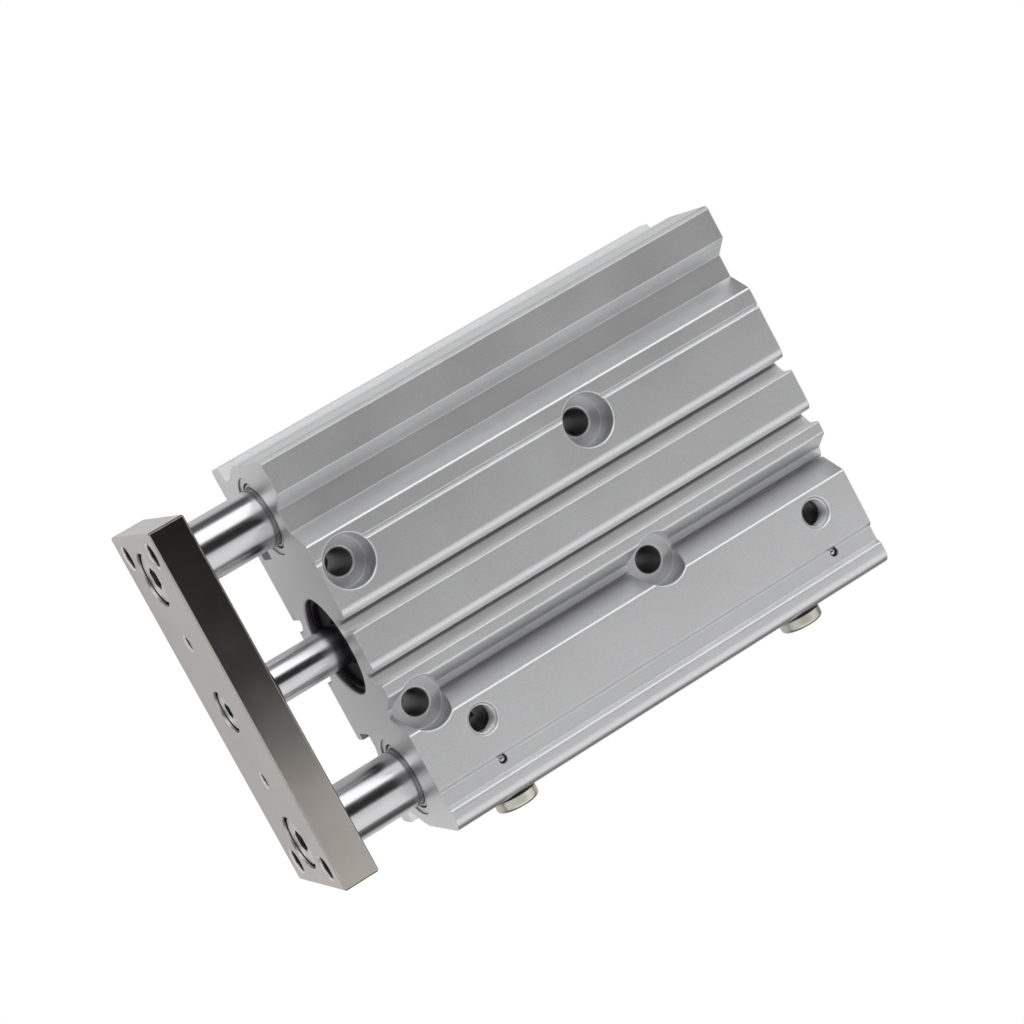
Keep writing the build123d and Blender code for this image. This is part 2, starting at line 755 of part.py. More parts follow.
with BuildPart() as piston_wear_ring:
    with BuildSketch(Plane.YZ.offset(wear_x + press_room)):
        round_face(0, bore_radius - running_room, piston_radius - wear_ring_depth + press_room)
    extrude(amount=wear_ring_width - 2 * press_room)
piston_wear_ring.part.label = "piston_wear_ring"
export_step(piston_wear_ring.part, "parts/piston_wear_ring.step")

with BuildPart() as piston_seal:
    with BuildSketch(Plane.YZ.offset(seal_x + press_room)):
        round_face(0, bore_radius - seal_room, piston_radius - piston_seal_depth + press_room)
    extrude(amount=piston_seal_width - 2 * press_room)
piston_seal.part.label = "piston_seal"
export_step(piston_seal.part, "parts/piston_seal.step")

with BuildPart() as piston_magnet:
    with BuildSketch(Plane.YZ.offset(magnet_x + press_room)):
        round_face(0, piston_radius - side_room, piston_radius - magnet_depth + press_room)
    extrude(amount=magnet_width - 2 * press_room)
piston_magnet.part.label = "piston_magnet"
export_step(piston_magnet.part, "parts/piston_magnet.step")

with BuildPart() as piston_washer:
    with BuildSketch(Plane.YZ.offset(piston_rear + piston_pocket_depth)):
        round_face(0, washer_diameter / 2, piston_screw_diameter / 2 + press_room)
    extrude(amount=-washer_thickness)
piston_washer.part.label = "piston_washer"
export_step(piston_washer.part, "parts/piston_washer.step")

piston_screw = cap_screw(
    piston_rear + piston_pocket_depth - washer_thickness,
    ((0, axis_z),),
    piston_screw_diameter,
    piston_screw_head,
    piston_screw_head_height,
    piston_screw_length,
    piston_screw_socket,
    facing=-1,
)
piston_screw.part.label = "piston_screw"
export_step(piston_screw.part, "parts/piston_screw.step")

# Piston rod, with a spigot in the piston and a narrower neck at the end plate
spigot_rear = piston_rear + piston_pocket_depth + side_room
with BuildPart() as piston_rod:
    with BuildSketch(Plane.YZ.offset(piston_front)):
        round_face(0, rod_radius)
    extrude(amount=plate_back - neck_length - piston_front)
    chamfer(piston_rod.edges().group_by(Axis.X)[-1], length=neck_chamfer)
    with BuildSketch(Plane.YZ.offset(spigot_rear)):
        round_face(0, piston_spigot_diameter / 2)
    extrude(amount=piston_front - spigot_rear)
    with BuildSketch(Plane.YZ.offset(plate_back - neck_length)):
        round_face(0, neck_diameter / 2)
    extrude(amount=neck_length)
    with BuildSketch(Plane.YZ.offset(plate_back)):
        round_face(0, rod_screw_diameter / 2 + press_room)
    extrude(amount=-rod_screw_length, mode=Mode.SUBTRACT)
    with BuildSketch(Plane.YZ.offset(spigot_rear)):
        round_face(0, piston_screw_diameter / 2 + press_room)
    extrude(amount=piston_screw_length, mode=Mode.SUBTRACT)
piston_rod.part.label = "piston_rod"
export_step(piston_rod.part, "parts/piston_rod.step")

# Guide rods
for side, y in guides.items():
    with BuildPart() as guide_rod:
        with BuildSketch(Plane.YZ.offset(guide_rod_rear)):
            round_face(y, guide_radius)
        extrude(amount=plate_back - guide_rod_rear)
        chamfer(guide_rod.edges().group_by(Axis.X)[0], length=rod_end_chamfer)
        with BuildSketch(Plane.YZ.offset(plate_back)):
            round_face(y, guide_screw_diameter / 2 + press_room)
        extrude(amount=-guide_screw_length, mode=Mode.SUBTRACT)
    guide_rod.part.label = f"guide_rod_{side}"
    export_step(guide_rod.part, f"parts/guide_rod_{side}.step")

# End plate
with BuildPart() as end_plate:
    with BuildSketch(Plane.YZ.offset(plate_back)):
        with Locations((0, axis_z)):
            Rectangle(plate_length, plate_width)
    extrude(amount=plate_thickness)
    chamfer(end_plate.edges(), length=plate_chamfer)
    with Locations(Plane(origin=(plate_front, 0, axis_z), x_dir=(0, 1, 0), z_dir=(1, 0, 0))):
        with Locations((guide_y, 0), (-guide_y, 0)):
            CounterBoreHole(
                radius=guide_screw_diameter / 2 + screw_hole_clearance,
                counter_bore_radius=guide_counterbore / 2,
                counter_bore_depth=guide_counterbore_depth,
            )
        CounterBoreHole(
            radius=rod_screw_diameter / 2 + screw_hole_clearance,
            counter_bore_radius=rod_counterbore / 2,
            counter_bore_depth=rod_counterbore_depth,
        )
        with GridLocations(plate_thread_pitch_y, plate_thread_pitch_z, 2, 2):
            CounterSinkHole(
                radius=plate_thread_diameter / 2,
                counter_sink_radius=plate_thread_diameter / 2 + plate_thread_lead,
                counter_sink_angle=90,
            )
        with GridLocations(dowel_pitch, 0, 2, 1):
            CounterSinkHole(
                radius=dowel_diameter / 2,
                counter_sink_radius=dowel_diameter / 2 + dowel_lead,
                counter_sink_angle=90,
            )
end_plate.part.label = "end_plate"
export_step(end_plate.part, "parts/end_plate.step")

# Screws that hold the three rods to the end plate
guide_rod_screws = cap_screw(
    plate_front - guide_counterbore_depth,
    ((guide_y, axis_z), (-guide_y, axis_z)),
    guide_screw_diameter,
    guide_screw_head,
    guide_screw_head_height,
    guide_screw_length,
    guide_screw_socket,
)
guide_rod_screws.part.label = "guide_rod_screws"
export_step(guide_rod_screws.part, "parts/guide_rod_screws.step")

piston_rod_screw = cap_screw(
    plate_front - rod_counterbore_depth,
    ((0, axis_z),),
    rod_screw_diameter,
    rod_screw_head,
    rod_screw_head_height,
    rod_screw_length,
    rod_screw_socket,
)
piston_rod_screw.part.label = "piston_rod_screw"
export_step(piston_rod_screw.part, "parts/piston_rod_screw.step")
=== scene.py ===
"""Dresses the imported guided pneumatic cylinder: finishes, cut threads, studio light and camera.

All lengths are in metres, in the row frame: +X along the stroke from the body to the end plate,
+Y towards the half with the air ports, +Z up from the bottom face.
"""

import json
import logging
import math
from collections.abc import Iterable, Mapping, Sequence
from dataclasses import dataclass, field
from enum import Enum
from typing import Any

import bmesh
import bpy
from mathutils import Euler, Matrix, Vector

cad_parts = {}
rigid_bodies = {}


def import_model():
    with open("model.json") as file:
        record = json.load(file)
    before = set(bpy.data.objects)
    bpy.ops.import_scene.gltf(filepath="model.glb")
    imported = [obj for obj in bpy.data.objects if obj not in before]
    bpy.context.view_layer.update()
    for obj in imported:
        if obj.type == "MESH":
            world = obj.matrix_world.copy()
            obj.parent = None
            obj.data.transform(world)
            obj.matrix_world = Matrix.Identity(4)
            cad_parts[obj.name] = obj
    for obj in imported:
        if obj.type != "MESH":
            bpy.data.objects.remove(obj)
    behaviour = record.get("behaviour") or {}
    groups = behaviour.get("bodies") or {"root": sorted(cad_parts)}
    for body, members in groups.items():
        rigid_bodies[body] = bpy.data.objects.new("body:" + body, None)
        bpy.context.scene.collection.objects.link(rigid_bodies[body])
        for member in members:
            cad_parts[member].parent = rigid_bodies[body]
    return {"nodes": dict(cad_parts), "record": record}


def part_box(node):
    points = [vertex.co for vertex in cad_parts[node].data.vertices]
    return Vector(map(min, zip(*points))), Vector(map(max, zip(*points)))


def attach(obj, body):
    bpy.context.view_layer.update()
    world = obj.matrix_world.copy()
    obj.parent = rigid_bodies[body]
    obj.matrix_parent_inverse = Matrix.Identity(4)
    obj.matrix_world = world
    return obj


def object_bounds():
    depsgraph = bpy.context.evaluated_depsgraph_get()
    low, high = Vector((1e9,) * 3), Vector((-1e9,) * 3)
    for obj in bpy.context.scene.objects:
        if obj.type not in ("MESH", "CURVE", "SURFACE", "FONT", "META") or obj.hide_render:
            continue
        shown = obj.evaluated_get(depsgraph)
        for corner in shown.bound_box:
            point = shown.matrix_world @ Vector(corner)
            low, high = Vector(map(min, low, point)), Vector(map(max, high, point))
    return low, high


for startup_object in list(bpy.data.objects):
    bpy.data.objects.remove(startup_object)
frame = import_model()
cad_low, cad_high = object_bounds()

log = logging.getLogger("guided_cylinder")

MM = 0.001
PORTS = ("port_front", "port_rear")
Color = tuple[float, float, float]
Place = tuple[float, float, float]
Span = tuple[float, float]
Socket = bpy.types.NodeSocket
Sockets = Mapping[str, Socket]
SocketOrNumber = Socket | float | tuple
WHITE: Color = (1.0, 1.0, 1.0)


class Body(Enum):
    """The two rigid bodies of the cylinder."""

    HOUSING = "housing"
    SLIDE = "slide"


class SocketKind(Enum):
    """The kinds of socket that a shader node group has."""

    VALUE = "NodeSocketFloat"
    COLOR = "NodeSocketColor"
    VECTOR = "NodeSocketVector"


class LineDirection(Enum):
    """Which way the fine tool marks of a surface run, as the stretch of the noise that draws them."""

    ALONG_STROKE = (0.02, 1.0, 1.0)
    ACROSS_PLATE = (1.0, 0.02, 1.0)
    AROUND_STROKE = (1.0, 0.03, 0.03)


class Graph:
    """Adds nodes to a shader node tree and joins them."""

    def __init__(self, tree: bpy.types.ShaderNodeTree) -> None:
        """Keeps the tree that nodes are added to.

        Args:
            tree: the node tree of a material, a world or a group.
        """
        self.tree = tree

    def add(
        self, kind: str, inputs: Mapping[Any, SocketOrNumber] | None = None, **settings: Any
    ) -> bpy.types.Node:
        """Adds one node.

        Args:
            kind: the node's Blender type name.
            inputs: what each input gets, by name or number: a socket to join, or a constant.
            **settings: attributes of the node.

        Returns:
            The new node.
        """
        node = self.tree.nodes.new(kind)
        for name, value in settings.items():
            setattr(node, name, value)
        for key, value in (inputs or {}).items():
            self.feed(node.inputs[key], value)
        return node

    def feed(self, target: Socket, value: SocketOrNumber) -> None:
        """Joins a socket to an input, or sets the input's constant.

        Args:
            target: the input.
            value: the socket or the constant.
        """
        if isinstance(value, bpy.types.NodeSocket):
            self.tree.links.new(value, target)
        else:
            target.default_value = value

    def math(
        self, operation: str, first: SocketOrNumber, second: SocketOrNumber = 0.0, clamp: bool = False
    ) -> Socket:
        """Works out one sum on numbers.

        Args:
            operation: the name of the sum, such as MULTIPLY.
            first: the first number.
            second: the second number, where the sum has one.
            clamp: keeps the result between 0 and 1.

        Returns:
            The result.
        """
        node = self.add("ShaderNodeMath", {0: first, 1: second}, operation=operation, use_clamp=clamp)
        return node.outputs[0]

    def vector(
        self, operation: str, first: SocketOrNumber, second: SocketOrNumber | None = None,
        output: int | str = 0,
    ) -> Socket:
        """Works out one sum on vectors.

        Args:
            operation: the name of the sum, such as SUBTRACT.
            first: the first vector.
            second: the second vector, where the sum has one.
            output: the result's name or number.

        Returns:
            The result.
        """
        inputs = {0: first} if second is None else {0: first, 1: second}
        return self.add("ShaderNodeVectorMath", inputs, operation=operation).outputs[output]

    def parts(self, vector: SocketOrNumber) -> list[Socket]:
        """Returns a vector's three parts."""
        return list(self.add("ShaderNodeSeparateXYZ", {0: vector}).outputs)

    def spread(
        self, value: Socket, low: SocketOrNumber, high: SocketOrNumber,
        to_low: SocketOrNumber = 0.0, to_high: SocketOrNumber = 1.0, smooth: bool = False,
    ) -> Socket:
        """Maps a number from one range to another, held at the ends.

        Args:
            value: the number.
            low: where the first range starts.
            high: where the first range ends.
            to_low: what the start becomes.
            to_high: what the end becomes.
            smooth: eases in and out.

        Returns:
            The mapped number.
        """
        kind = "SMOOTHSTEP" if smooth else "LINEAR"
        inputs = {0: value, 1: low, 2: high, 3: to_low, 4: to_high}
        return self.add("ShaderNodeMapRange", inputs, interpolation_type=kind).outputs[0]

    def blend(self, factor: SocketOrNumber, first: SocketOrNumber, second: SocketOrNumber) -> Socket:
        """Mixes two colours.

        Args:
            factor: the share of the second colour.
            first: the colour at 0.
            second: the colour at 1.

        Returns:
            The mixed colour.
        """
        node = self.add("ShaderNodeMix", data_type="RGBA")
        color_inputs = [socket for socket in node.inputs if socket.type == "RGBA"]
        self.feed(node.inputs[0], factor)
        self.feed(color_inputs[0], first)
        self.feed(color_inputs[1], second)
        return next(socket for socket in node.outputs if socket.type == "RGBA")

    def noise(self, vector: Socket, scale: SocketOrNumber, detail: float, roughness: float = 0.5) -> Socket:
        """Adds soft noise.

        Args:
            vector: where the noise is read.
            scale: cells in a metre.
            detail: how many finer layers are added.
            roughness: the strength of the finer layers.

        Returns:
            The noise, from 0 to 1.
        """
        inputs = {"Vector": vector, "Scale": scale, "Detail": detail, "Roughness": roughness}
        return self.add("ShaderNodeTexNoise", inputs).outputs[0]

    def place(self) -> Socket:
        """Returns the place on the object, in metres in the row frame."""
        return self.add("ShaderNodeTexCoord").outputs["Object"]

    def facing(self) -> Socket:
        """Returns the surface's own direction in the row frame."""
        return self.add("ShaderNodeTexCoord").outputs["Normal"]


def rgba(color: Color) -> tuple[float, float, float, float]:
    """Returns a colour with full alpha."""
    return (*color, 1.0)


def shaded(color: Color, share: float) -> Color:
    """Returns a share of a colour."""
    return tuple(share * channel for channel in color)


def shown(name: str, data: bpy.types.ID) -> bpy.types.Object:
    """Shows a mesh, lamp or camera in the scene.

    Args:
        name: the new object's name.
        data: what it shows.

    Returns:
        The new object.
    """
    made = bpy.data.objects.new(name, data)
    bpy.context.scene.collection.objects.link(made)
    return made


def empty_graph(owner: bpy.types.Material | bpy.types.World) -> Graph:
    """Gives a material or a world an empty node tree.

    Args:
        owner: the material or the world.

    Returns:
        The graph of its tree.
    """
    owner.use_nodes = True
    owner.node_tree.nodes.clear()
    return Graph(owner.node_tree)


class EffectGroup:
    """A shader node group with named inputs and outputs that finishes share."""

    name: str = ""
    inputs: dict[str, tuple[SocketKind, Any]] = {}
    outputs: dict[str, SocketKind] = {}
    _built: dict[str, bpy.types.ShaderNodeTree] = {}

    def wire(self, graph: Graph, given: Sockets) -> dict[str, Socket]:
        """Adds the group's own nodes.

        Args:
            graph: the group's tree.
            given: the group's inputs.

        Returns:
            What each output of the group gets.
        """
        raise NotImplementedError

    def tree(self) -> bpy.types.ShaderNodeTree:
        """Builds the group the first time it is asked for.

        Returns:
            The group's node tree.
        """
        if self.name not in self._built:
            made = bpy.data.node_groups.new(self.name, "ShaderNodeTree")
            for label, (kind, value) in self.inputs.items():
                socket = made.interface.new_socket(name=label, in_out="INPUT", socket_type=kind.value)
                socket.default_value = value
            for label, kind in self.outputs.items():
                made.interface.new_socket(name=label, in_out="OUTPUT", socket_type=kind.value)
            graph = Graph(made)
            results = self.wire(graph, graph.add("NodeGroupInput").outputs)
            graph.add("NodeGroupOutput", results)
            self._built[self.name] = made
        return self._built[self.name]

    def use(self, graph: Graph, **values: SocketOrNumber) -> Sockets:
        """Places the group in a material.

        Args:
            graph: the material's tree.
            **values: what each input gets, with underscores for the spaces in its name.

        Returns:
            The group node's outputs.
        """
        node = graph.add("ShaderNodeGroup", node_tree=self.tree())
        for label, value in values.items():
            graph.feed(node.inputs[label.replace("_", " ")], value)
        return node.outputs


class RoundedEdges(EffectGroup):
    """Rounds the corners of a surface for the light, and says where the corners are.

    Attributes:
        samples: rays that feel for corners.
        agreement: how far the two directions agree where a corner starts, and where it is full.
    """

    name = "rounded edges"
    inputs = {"Radius": (SocketKind.VALUE, 0.0003)}
    outputs = {"Normal": SocketKind.VECTOR, "Edge": SocketKind.VALUE}
    samples = 6
    agreement = (0.998, 0.93)

    def wire(self, graph: Graph, given: Sockets) -> dict[str, Socket]:
        """Compares the rounded direction with the surface's own.

        Args:
            graph: the group's tree.
            given: the group's inputs.

        Returns:
            What each output of the group gets.
        """
        rounded = graph.add("ShaderNodeBevel", {"Radius": given["Radius"]}, samples=self.samples).outputs[0]
        flat = graph.add("ShaderNodeNewGeometry").outputs["Normal"]
        agreed = graph.vector("DOT_PRODUCT", rounded, flat, "Value")
        return {"Normal": rounded, "Edge": graph.spread(agreed, *self.agreement)}


class BlastedGrain(EffectGroup):
    """The fine matt grain that glass beads leave, with soft patches of more and less gloss.

    Attributes:
        mixed: the range of the two noises together that goes from the smoothest to the roughest.
    """

    name = "blasted grain"
    inputs = {
        "Grain": (SocketKind.VALUE, 3000.0),
        "Patches": (SocketKind.VALUE, 40.0),
        "Smoothest": (SocketKind.VALUE, 0.4),
        "Roughest": (SocketKind.VALUE, 0.5),
    }
    outputs = {"Height": SocketKind.VALUE, "Roughness": SocketKind.VALUE, "Patch": SocketKind.VALUE}
    mixed = (0.3, 0.7)

    def wire(self, graph: Graph, given: Sockets) -> dict[str, Socket]:
        """Lays fine noise over broad noise.

        Args:
            graph: the group's tree.
            given: the group's inputs.

        Returns:
            What each output of the group gets.
        """
        place = graph.place()
        grain = graph.noise(place, given["Grain"], detail=3.0, roughness=0.6)
        patch = graph.noise(place, given["Patches"], detail=3.0)
        mean = graph.math("ADD", graph.math("MULTIPLY", grain, 0.5), graph.math("MULTIPLY", patch, 0.5))
        roughness = graph.spread(mean, *self.mixed, given["Smoothest"], given["Roughest"])
        return {"Height": grain, "Roughness": roughness, "Patch": patch}


class DrawnLines(EffectGroup):
    """Fine straight marks that a die or a grinding wheel leaves."""

    name = "drawn lines"
    inputs = {"Lines": (SocketKind.VALUE, 4000.0), "Stretch": (SocketKind.VECTOR, (1.0, 1.0, 1.0))}
    outputs = {"Height": SocketKind.VALUE}

    def wire(self, graph: Graph, given: Sockets) -> dict[str, Socket]:
        """Reads noise from stretched places."""
        stretched = graph.vector("MULTIPLY", graph.place(), given["Stretch"])
        return {"Height": graph.noise(stretched, given["Lines"], detail=4.0, roughness=0.65)}


class EdgeWearAndHighlight(EffectGroup):
    """Turns corners from the untouched colour to the colour of the bare metal, in uneven stretches: partly
    wear, partly a painted highlight.

    Attributes:
        stretches: stretches in a metre.
        uneven: the range of the noise that goes from no wear to full wear.
    """

    name = "edge wear and highlight"
    inputs = {
        "Clean": (SocketKind.COLOR, (0.5, 0.5, 0.5, 1.0)),
        "Bare": (SocketKind.COLOR, (0.8, 0.8, 0.8, 1.0)),
        "Edge": (SocketKind.VALUE, 0.0),
        "Amount": (SocketKind.VALUE, 0.5),
    }
    outputs = {"Color": SocketKind.COLOR}
    stretches = 260.0
    uneven = (0.25, 0.7)

    def wire(self, graph: Graph, given: Sockets) -> dict[str, Socket]:
        """Breaks the corner mask up with noise.

        Args:
            graph: the group's tree.
            given: the group's inputs.

        Returns:
            What each output of the group gets.
        """
        wear_and_highlight = graph.spread(graph.noise(graph.place(), self.stretches, detail=3.0), *self.uneven)
        share = graph.math("MULTIPLY", graph.math("MULTIPLY", given["Edge"], wear_and_highlight), given["Amount"])
        return {"Color": graph.blend(share, given["Clean"], given["Bare"])}


class PaintedRecessShade(EffectGroup):
    """Paints shade into the bottoms of holes and grooves, darker where walls stand near.

    Attributes:
        samples: rays that feel for walls.
    """

    name = "painted recess shade"
    inputs = {
        "Clean": (SocketKind.COLOR, (0.5, 0.5, 0.5, 1.0)),
        "Grimy": (SocketKind.COLOR, (0.05, 0.05, 0.05, 1.0)),
        "Reach": (SocketKind.VALUE, 0.008),
        "Closed": (SocketKind.VALUE, 0.1),
        "Open": (SocketKind.VALUE, 0.5),
    }
    outputs = {"Color": SocketKind.COLOR, "Open share": SocketKind.VALUE}
    samples = 8

    def wire(self, graph: Graph, given: Sockets) -> dict[str, Socket]:
        """Measures how open each place is.

        Args:
            graph: the group's tree.
            given: the group's inputs.

        Returns:
            What each output of the group gets.
        """
        shelter = graph.add("ShaderNodeAmbientOcclusion", {"Distance": given["Reach"]}, samples=self.samples)
        open_share = shelter.outputs["AO"]
        # painted shade: sheltered places get the shadowed colour
        unshaded = graph.spread(open_share, given["Closed"], given["Open"])
        return {"Color": graph.blend(unshaded, given["Grimy"], given["Clean"]), "Open share": open_share}


class DustSpecks(EffectGroup):
    """Sparse small specks of dust.

    Attributes:
        speck: how far from its middle a speck starts to fade, and where it ends, in cells.
    """

    name = "dust specks"
    inputs = {"Cells": (SocketKind.VALUE, 300.0), "Share": (SocketKind.VALUE, 0.1)}
    outputs = {"Mask": SocketKind.VALUE}
    speck = (0.05, 0.12)

    def wire(self, graph: Graph, given: Sockets) -> dict[str, Socket]:
        """Keeps the middle of a few random cells.

        Args:
            graph: the group's tree.
            given: the group's inputs.

        Returns:
            What each output of the group gets.
        """
        cells = graph.add("ShaderNodeTexVoronoi", {"Vector": graph.place(), "Scale": given["Cells"]}).outputs
        middle = graph.spread(cells["Distance"], *self.speck, 1.0, 0.0)
        lot = graph.add("ShaderNodeSeparateColor", {0: cells["Color"]}).outputs[0]
        return {"Mask": graph.math("MULTIPLY", middle, graph.math("LESS_THAN", lot, given["Share"]))}


class InsideBlock(EffectGroup):
    """Whether a place lies inside a block, which on a solid plate is true on the walls of its holes."""

    name = "inside block"
    inputs = {"Middle": (SocketKind.VECTOR, (0.0, 0.0, 0.0)), "Reach": (SocketKind.VECTOR, (0.0, 0.0, 0.0))}
    outputs = {"Mask": SocketKind.VALUE}

    def wire(self, graph: Graph, given: Sockets) -> dict[str, Socket]:
        """Compares the offset from the middle with the reach, in each direction.

        Args:
            graph: the group's tree.
            given: the group's inputs.

        Returns:
            What each output of the group gets.
        """
        offset = graph.vector("ABSOLUTE", graph.vector("SUBTRACT", graph.place(), given["Middle"]))
        both = zip(graph.parts(offset), graph.parts(given["Reach"]))
        shares = [graph.math("LESS_THAN", near, far) for near, far in both]
        return {"Mask": graph.math("MULTIPLY", graph.math("MULTIPLY", shares[0], shares[1]), shares[2])}


class AxisDistance(EffectGroup):
    """How far a place is from an axis."""

    name = "axis distance"
    inputs = {
        "Place": (SocketKind.VECTOR, (0.0, 0.0, 0.0)),
        "Centre": (SocketKind.VECTOR, (0.0, 0.0, 0.0)),
        "Across": (SocketKind.VECTOR, (0.0, 1.0, 1.0)),
    }
    outputs = {"Distance": SocketKind.VALUE}

    def wire(self, graph: Graph, given: Sockets) -> dict[str, Socket]:
        """Measures the offset from the centre, without its part along the axis.

        Args:
            graph: the group's tree.
            given: the group's inputs.

        Returns:
            What each output of the group gets.
        """
        offset = graph.vector("SUBTRACT", given["Place"], given["Centre"])
        across = graph.vector("MULTIPLY", offset, given["Across"])
        return {"Distance": graph.vector("LENGTH", across, output="Value")}


class TurnedRings(EffectGroup):
    """Fine rings that a lathe or a face mill leaves around an axis along X."""

    name = "turned rings"
    inputs = {"Centre": (SocketKind.VECTOR, (0.0, 0.0, 0.0)), "Rings": (SocketKind.VALUE, 3000.0)}
    outputs = {"Height": SocketKind.VALUE}

    def wire(self, graph: Graph, given: Sockets) -> dict[str, Socket]:
        """Reads noise from the distance to the axis.

        Args:
            graph: the group's tree.
            given: the group's inputs.

        Returns:
            What each output of the group gets.
        """
        distance = AXIS_DISTANCE.use(graph, Place=graph.place(), Centre=given["Centre"])["Distance"]
        inputs = {"W": distance, "Scale": given["Rings"], "Detail": 3.0}
        return {"Height": graph.add("ShaderNodeTexNoise", inputs, noise_dimensions="1D").outputs[0]}


class BoreShading(EffectGroup):
    """Paints shade into a bore, full from its depth up to a fading edge."""

    name = "bore shading"
    inputs = {
        "Clean": (SocketKind.COLOR, (0.5, 0.5, 0.5, 1.0)),
        "Film": (SocketKind.COLOR, (0.05, 0.05, 0.05, 1.0)),
        "Place": (SocketKind.VECTOR, (0.0, 0.0, 0.0)),
        "Centre": (SocketKind.VECTOR, (0.0, 0.0, 0.0)),
        "Across": (SocketKind.VECTOR, (0.0, 1.0, 1.0)),
        "Radius": (SocketKind.VALUE, 0.005),
        "Full below": (SocketKind.VALUE, 1.0),
        "None above": (SocketKind.VALUE, 2.0),
    }
    outputs = {"Color": SocketKind.COLOR}

    def wire(self, graph: Graph, given: Sockets) -> dict[str, Socket]:
        """Masks what lies within the radius, and fades the mask with the height.

        Args:
            graph: the group's tree.
            given: the group's inputs.

        Returns:
            What each output of the group gets.
        """
        place = given["Place"]
        axis = AXIS_DISTANCE.use(graph, Place=place, Centre=given["Centre"], Across=given["Across"])
        inside = graph.math("LESS_THAN", axis["Distance"], given["Radius"])
        low = graph.spread(graph.parts(place)[2], given["Full below"], given["None above"], 1.0, 0.0)
        return {"Color": graph.blend(graph.math("MULTIPLY", inside, low), given["Clean"], given["Film"])}


ROUNDED_EDGES = RoundedEdges()
BLASTED_GRAIN = BlastedGrain()
DRAWN_LINES = DrawnLines()
EDGE_WEAR_AND_HIGHLIGHT = EdgeWearAndHighlight()
PAINTED_RECESS_SHADE = PaintedRecessShade()
DUST_SPECKS = DustSpecks()
INSIDE_BLOCK = InsideBlock()
AXIS_DISTANCE = AxisDistance()
TURNED_RINGS = TurnedRings()
BORE_SHADING = BoreShading()


@dataclass(frozen=True)
class Finish:
    """A surface finish, which makes one material: patches of two shades over a fine relief.

    Attributes:
        slot: the record's material slot.
        color: the main colour, linear.
        roughness: the smoothest and the roughest that the surface gets.
        metallic: how much of the surface is bare metal to the light.
        edge_radius: how far corners are rounded for the light.
        grain: grains in a metre.
        patches: patches in a metre.
        relief: how high the relief stands.
        shade: the second shade, as a share of the main colour.
        bare: the colour of rubbed corners, where they are rubbed; on the body it is light enough to be also
            a painted highlight.
        wear: how much of the bare colour shows there.
    """

    slot: str
    color: Color
    roughness: Span
    metallic: float = 1.0
    edge_radius: float = 0.2 * MM
    grain: float = 1800.0
    patches: float = 100.0
    relief: float = 0.01 * MM
    shade: float = 0.9
    bare: Color | None = None
    wear: float = 0.0

    def height(self, graph: Graph, grain: Sockets) -> Socket:
        """Returns the relief's height, which is that of the grain."""
        return grain["Height"]

    def tint(self, graph: Graph, grain: Sockets) -> Socket:
        """Returns the colour, in patches of the two shades."""
        return graph.blend(grain["Patch"], rgba(self.color), rgba(shaded(self.color, self.shade)))

    def looks(self, graph: Graph) -> dict[str, SocketOrNumber]:
        """Lays the relief and the colour over rounded corners.

        Args:
            graph: the material's tree.

        Returns:
            What each input of the shader gets.
        """
        low, high = self.roughness
        edges = ROUNDED_EDGES.use(graph, Radius=self.edge_radius)
        grain = BLASTED_GRAIN.use(
            graph, Grain=self.grain, Patches=self.patches, Smoothest=low, Roughest=high
        )
        inputs = {"Height": self.height(graph, grain), "Distance": self.relief, "Normal": edges["Normal"]}
        normal = graph.add("ShaderNodeBump", {"Strength": 1.0} | inputs).outputs[0]
        color = self.tint(graph, grain)
        if self.bare:
            wear_and_highlight = EDGE_WEAR_AND_HIGHLIGHT.use(
                graph, Clean=color, Bare=rgba(self.bare), Edge=edges["Edge"], Amount=self.wear
            )
            color = wear_and_highlight["Color"]
        return {
            "Base Color": color, "Metallic": self.metallic,
            "Roughness": grain["Roughness"], "Normal": normal,
        }

    def material(self) -> bpy.types.Material:
        """Makes the material.

        Returns:
            The new material, named after its slot.
        """
        made = bpy.data.materials.new(f"{self.slot}_finish")
        graph = empty_graph(made)
        shader = graph.add("ShaderNodeBsdfPrincipled", self.looks(graph))
        graph.add("ShaderNodeOutputMaterial", {"Surface": shader.outputs[0]})
        made.diffuse_color = rgba(self.color)
        return made


@dataclass(frozen=True)
class ShadedBore:
    """A bore of the body that gets painted shade.

    Attributes:
        centre: a point on the bore's axis.
        across: 1 for each direction across the axis, and 0 along it.
        radius: how far the painted shade reaches from the axis.
        shading: the colour of the painted shade.
        four_fold: the bore is repeated on the other sides of X = 0 and Y = 0.
        full_below: the height under which the painted shade is full.
        none_above: the height over which there is none.
    """

    centre: Place
    across: Place
    radius: float
    film: Color
    four_fold: bool = False
    full_below: float = 1.0
    none_above: float = 2.0


